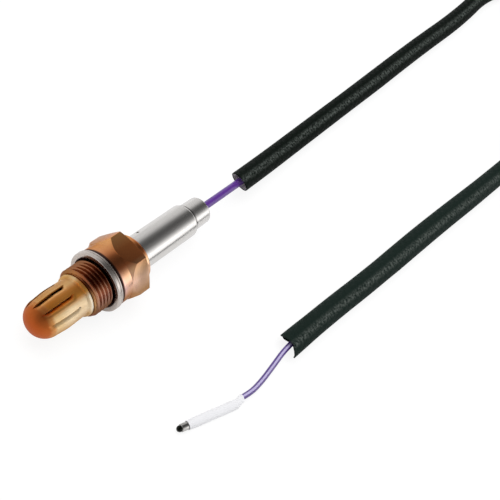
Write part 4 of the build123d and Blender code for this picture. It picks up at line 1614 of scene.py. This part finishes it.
# ------------------------------------------------------------------ hidden stack
@dataclass
class InnerStack:
    """The solids inside the shell and sleeve, which keep their own shapes and get their finishes."""

    finishes: dict[str, Finish] = field(default_factory=lambda: {
        "sensing_element": ZIRCONIA, "element_seat_washer": SPRING_STEEL, "talc_packing": TALC,
        "packing_ring": SPRING_STEEL, "insulator_bush": STEATITE, "insulator_cap": STEATITE,
        "disc_spring": SPRING_STEEL, "crimp_ring": SPRING_STEEL, "contact_pin": CONTACT_NICKEL,
        "wire_ferrule": CONTACT_NICKEL,
    })

    def build(self) -> list[bpy.types.Object]:
        """Dress each solid.

        Returns:
            The dressed solids.
        """
        materials = {finish: finish.material() for finish in dict.fromkeys(self.finishes.values())}
        dressed = []
        for node, finish in self.finishes.items():
            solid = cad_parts[node]
            for slot in solid.material_slots:
                slot.material = materials[finish]
            dressed.append(solid)
        return dressed


# ------------------------------------------------------------------ the whole lead
@dataclass
class Lead:
    """The wire, its sleeve and the terminal, in the order that they leave the sensor."""

    near_diameter: float = 0.0030          # the wire's plump outer jacket at the sensor
    far_diameter: float = 0.0021           # the slimmer insulation that goes into the boot
    near_route: Route = field(default_factory=lambda: Route("near_wire_line", [
        (0.026925, 0.0, 0.01135), (0.051, 0.0, 0.01135), (0.0752, 0.0013, 0.0073),
    ]))
    sleeve_route: Route = field(default_factory=lambda: Route("sleeve_line", [
        (0.0664, 0.00086, 0.00877), (0.0867, 0.00212, 0.00537), (0.122, 0.0036, 0.00435),
        (0.170, 0.0051, 0.00435), (0.222, 0.00715, 0.00435), (0.268, 0.0078, 0.00435),
        (0.306, 0.0115, 0.00435), (0.340, 0.003, 0.00435), (0.359, -0.026, 0.00435),
        (0.350, -0.060, 0.00435), (0.318, -0.079, 0.00435), (0.276, -0.076, 0.00435),
        (0.228, -0.0676, 0.00435), (0.178, -0.0659, 0.00435), (0.130, -0.0629, 0.00435),
        (0.086, -0.0614, 0.00435), (0.054, -0.0593, 0.00435), (0.0302, -0.0585, 0.00435),
    ]))
    far_route: Route = field(default_factory=lambda: Route("far_wire_line", [
        (0.0385, -0.05878, 0.00435), (0.0305, -0.05851, 0.00435), (0.0205, -0.0602, 0.0022),
        (0.0135, -0.0612, 0.00135), (0.0063, -0.06144, 0.0018), (-0.0002, -0.05983, 0.0018),
    ]))

    def build(self) -> list[bpy.types.Object]:
        """Build every piece of the lead.

        Returns:
            The dressed pieces.
        """
        near, near_spine = Insulation("lead_wire_skin", "lead_wire", self.near_diameter, self.near_route,
                                      VIOLET_VINYL).build()
        sleeve = BraidedSleeve(self.sleeve_route).build()
        far, far_spine = Insulation("lead_wire_tail", "lead_wire_end", self.far_diameter, self.far_route,
                                    VIOLET_VINYL_PAINTED_HIGHLIGHT, bared_end=0.0029).build()
        terminal = BulletTerminal().build()
        return [near, sleeve, far, *terminal]


# ------------------------------------------------------------------ studio
@dataclass
class Studio:
    """White table, soft tent with a dark roof, one soft lamp over the lead, and the camera."""

    lens: float = 68.12                                   # mm
    sensor_width: float = 36.0                            # mm
    clip: tuple[float, float] = (0.01, 20.0)
    eye: tuple[float, float, float] = (-0.17857, -0.07856, 0.27314)
    right: tuple[float, float, float] = (0.6058, -0.7046, 0.3695)
    up: tuple[float, float, float] = (0.4710, 0.6919, 0.5471)
    back: tuple[float, float, float] = (-0.6412, -0.1574, 0.7511)
    # Brightness of the tent and of its window by angle in degrees, from +Y over the top to -Y
    tent: tuple[tuple[float, float], ...] = (
        (0.0, 0.9), (33.0, 0.81), (52.0, 0.56), (60.0, 0.32), (70.0, 0.17), (86.0, 0.1), (100.0, 0.11),
        (118.0, 0.2), (130.0, 0.35), (144.0, 0.5), (180.0, 0.5),
    )
    window: tuple[tuple[float, float], ...] = (
        (0.0, 0.0), (122.0, 0.0), (130.0, 0.05), (144.0, 0.4), (154.0, 1.1), (164.0, 1.35), (180.0, 1.2),
    )
    window_edge: tuple[float, float] = (-0.15, 0.3)       # where it starts and is full, towards +X
    table_half: float = 3.0
    table_top: float = -0.00005                           # a hair below what lies on it
    paper: float = 0.8                                    # share of light that the paper reflects
    # Shares that it reflects and gives off, as the camera sees it and as metal and glass mirror it
    seen_paper: tuple[float, float] = (0.18, 0.86)
    mirrored_paper: tuple[float, float] = (0.7, 0.3)
    lamp_place: tuple[float, float, float] = (0.1, 0.1, 1.3)
    lamp_aim: tuple[float, float, float] = (0.05, -0.03, 0.0)
    lamp_size: float = 1.2
    lamp_power: float = 13.5                              # watts

    def camera(self) -> None:
        """Set the camera at its place."""
        eye = linked("camera", bpy.data.cameras.new("camera"))
        eye.data.lens = self.lens
        eye.data.sensor_width = self.sensor_width
        eye.data.clip_start, eye.data.clip_end = self.clip
        turned = Matrix((self.right, self.up, self.back)).transposed().to_4x4()
        eye.matrix_world = Matrix.Translation(self.eye) @ turned
        bpy.context.scene.camera = eye

    def table(self) -> None:
        """Lay the table, which the camera and reflections see as white with a faint shadow."""
        mesh = bpy.data.meshes.new("table")
        half, top = self.table_half, self.table_top
        mesh.from_pydata([(-half, -half, top), (half, -half, top), (half, half, top), (-half, half, top)],
                         [], [(0, 1, 2, 3)])
        made = bpy.data.materials.new("white_paper_sweep")
        made.use_nodes = True
        tree = made.node_tree
        tree.nodes.clear()
        paper = add_node(tree, "ShaderNodeBsdfDiffuse", {"Color": grey(self.paper)})
        ray = add_node(tree, "ShaderNodeLightPath").outputs
        mirrored = add_node(tree, "ShaderNodeMath",
                            {0: ray["Is Glossy Ray"], 1: ray["Is Transmission Ray"]}, operation="MAXIMUM")
        first = add_node(tree, "ShaderNodeMixShader",
                         {0: mirrored, 1: paper, 2: self.glowing_paper(tree, *self.mirrored_paper)})
        mix = add_node(tree, "ShaderNodeMixShader",
                       {0: ray["Is Camera Ray"], 1: first, 2: self.glowing_paper(tree, *self.seen_paper)})
        add_node(tree, "ShaderNodeOutputMaterial", {"Surface": mix})
        mesh.materials.append(made)
        table = linked("table", mesh)

    def glowing_paper(self, tree: bpy.types.NodeTree, tone: float, glow: float) -> bpy.types.Node:
        """Make paper that glows towards white and still takes a shadow.

        Args:
            tree: the table's tree.
            tone: share of white that the paper reflects.
            glow: share of white that it gives off.

        Returns:
            The shader.
        """
        shaded = add_node(tree, "ShaderNodeBsdfDiffuse", {"Color": grey(tone)})
        light = add_node(tree, "ShaderNodeEmission", {"Color": grey(1.0), "Strength": glow})
        return add_node(tree, "ShaderNodeAddShader", {0: shaded, 1: light})

    def levels(self, tree: bpy.types.NodeTree, angle: bpy.types.Node,
               table: Sequence[tuple[float, float]]) -> bpy.types.Node:
        """Read a table of brightness by the tent's angle.

        Args:
            tree: the world's tree.
            angle: the angle, 0 to 1 from +Y over the top to -Y.
            table: (degrees, brightness) pairs.

        Returns:
            The brightness.
        """
        peak = max(level for _, level in table)
        ramp = add_node(tree, "ShaderNodeValToRGB", {"Fac": angle})
        fill_ramp(ramp.color_ramp, [(degrees / 180, grey(level / peak)) for degrees, level in table])
        return add_node(tree, "ShaderNodeMath", {0: ramp, 1: peak}, operation="MULTIPLY")

    def sky(self) -> None:
        """Wrap the set in the tent: pale sides, a dark roof and a bright window low towards -Y and +X."""
        world = bpy.data.worlds.new("tent")
        bpy.context.scene.world = world
        world.use_nodes = True
        tree = world.node_tree
        tree.nodes.clear()
        look = add_node(tree, "ShaderNodeTexCoord").outputs["Generated"]
        ahead, side, up = add_node(tree, "ShaderNodeSeparateXYZ", {0: look}).outputs
        turn = add_node(tree, "ShaderNodeMath", {0: up, 1: side}, operation="ARCTAN2")
        angle = add_node(tree, "ShaderNodeMapRange", {"Value": turn, "From Min": 0.0, "From Max": math.pi})
        low, high = self.window_edge
        reach = add_node(tree, "ShaderNodeMapRange", {"Value": ahead, "From Min": low, "From Max": high},
                         interpolation_type="SMOOTHSTEP")
        cloth = self.levels(tree, angle, self.tent)
        pane = self.levels(tree, angle, self.window)
        total = add_node(tree, "ShaderNodeMath", {0: pane, 1: reach, 2: cloth}, operation="MULTIPLY_ADD")
        glow = add_node(tree, "ShaderNodeBackground", {"Color": grey(1.0), "Strength": total})
        add_node(tree, "ShaderNodeOutputWorld", {"Surface": glow})

    def lamp(self) -> None:
        """Hang a soft lamp over the lead, which polished metal doesn't show."""
        light = bpy.data.lights.new("roof_fill", "AREA")
        light.shape = "RECTANGLE"
        light.size, light.size_y = self.lamp_size, self.lamp_size
        light.energy = self.lamp_power
        lamp = linked("roof_fill", light)
        lamp.location = self.lamp_place
        away = Vector(self.lamp_place) - Vector(self.lamp_aim)
        lamp.rotation_euler = away.to_track_quat("Z", "Y").to_euler()
        lamp.visible_glossy = False

    def build(self) -> None:
        """Set up the whole studio."""
        self.camera()
        self.table()
        self.sky()
        self.lamp()
        bpy.context.scene.view_settings.view_transform = "Standard"


def report(pieces: Iterable[bpy.types.Object]) -> None:
    """Log each piece with its face count.

    Args:
        pieces: dressed pieces.
    """
    for piece in pieces:
        log.info("%s: %d faces", piece.name, len(piece.data.polygons))


def main() -> None:
    """Build the sensor, its lead and the studio."""
    logging.basicConfig(level=logging.INFO, format="%(message)s")
    report([LouvredShield().build(), TurnedShell().build(), FoldedGasket().build()])
    report(RearSleeve().build())
    report(Lead().build())
    report(InnerStack().build())
    Studio().build()


if __name__ == "__main__":
    main()
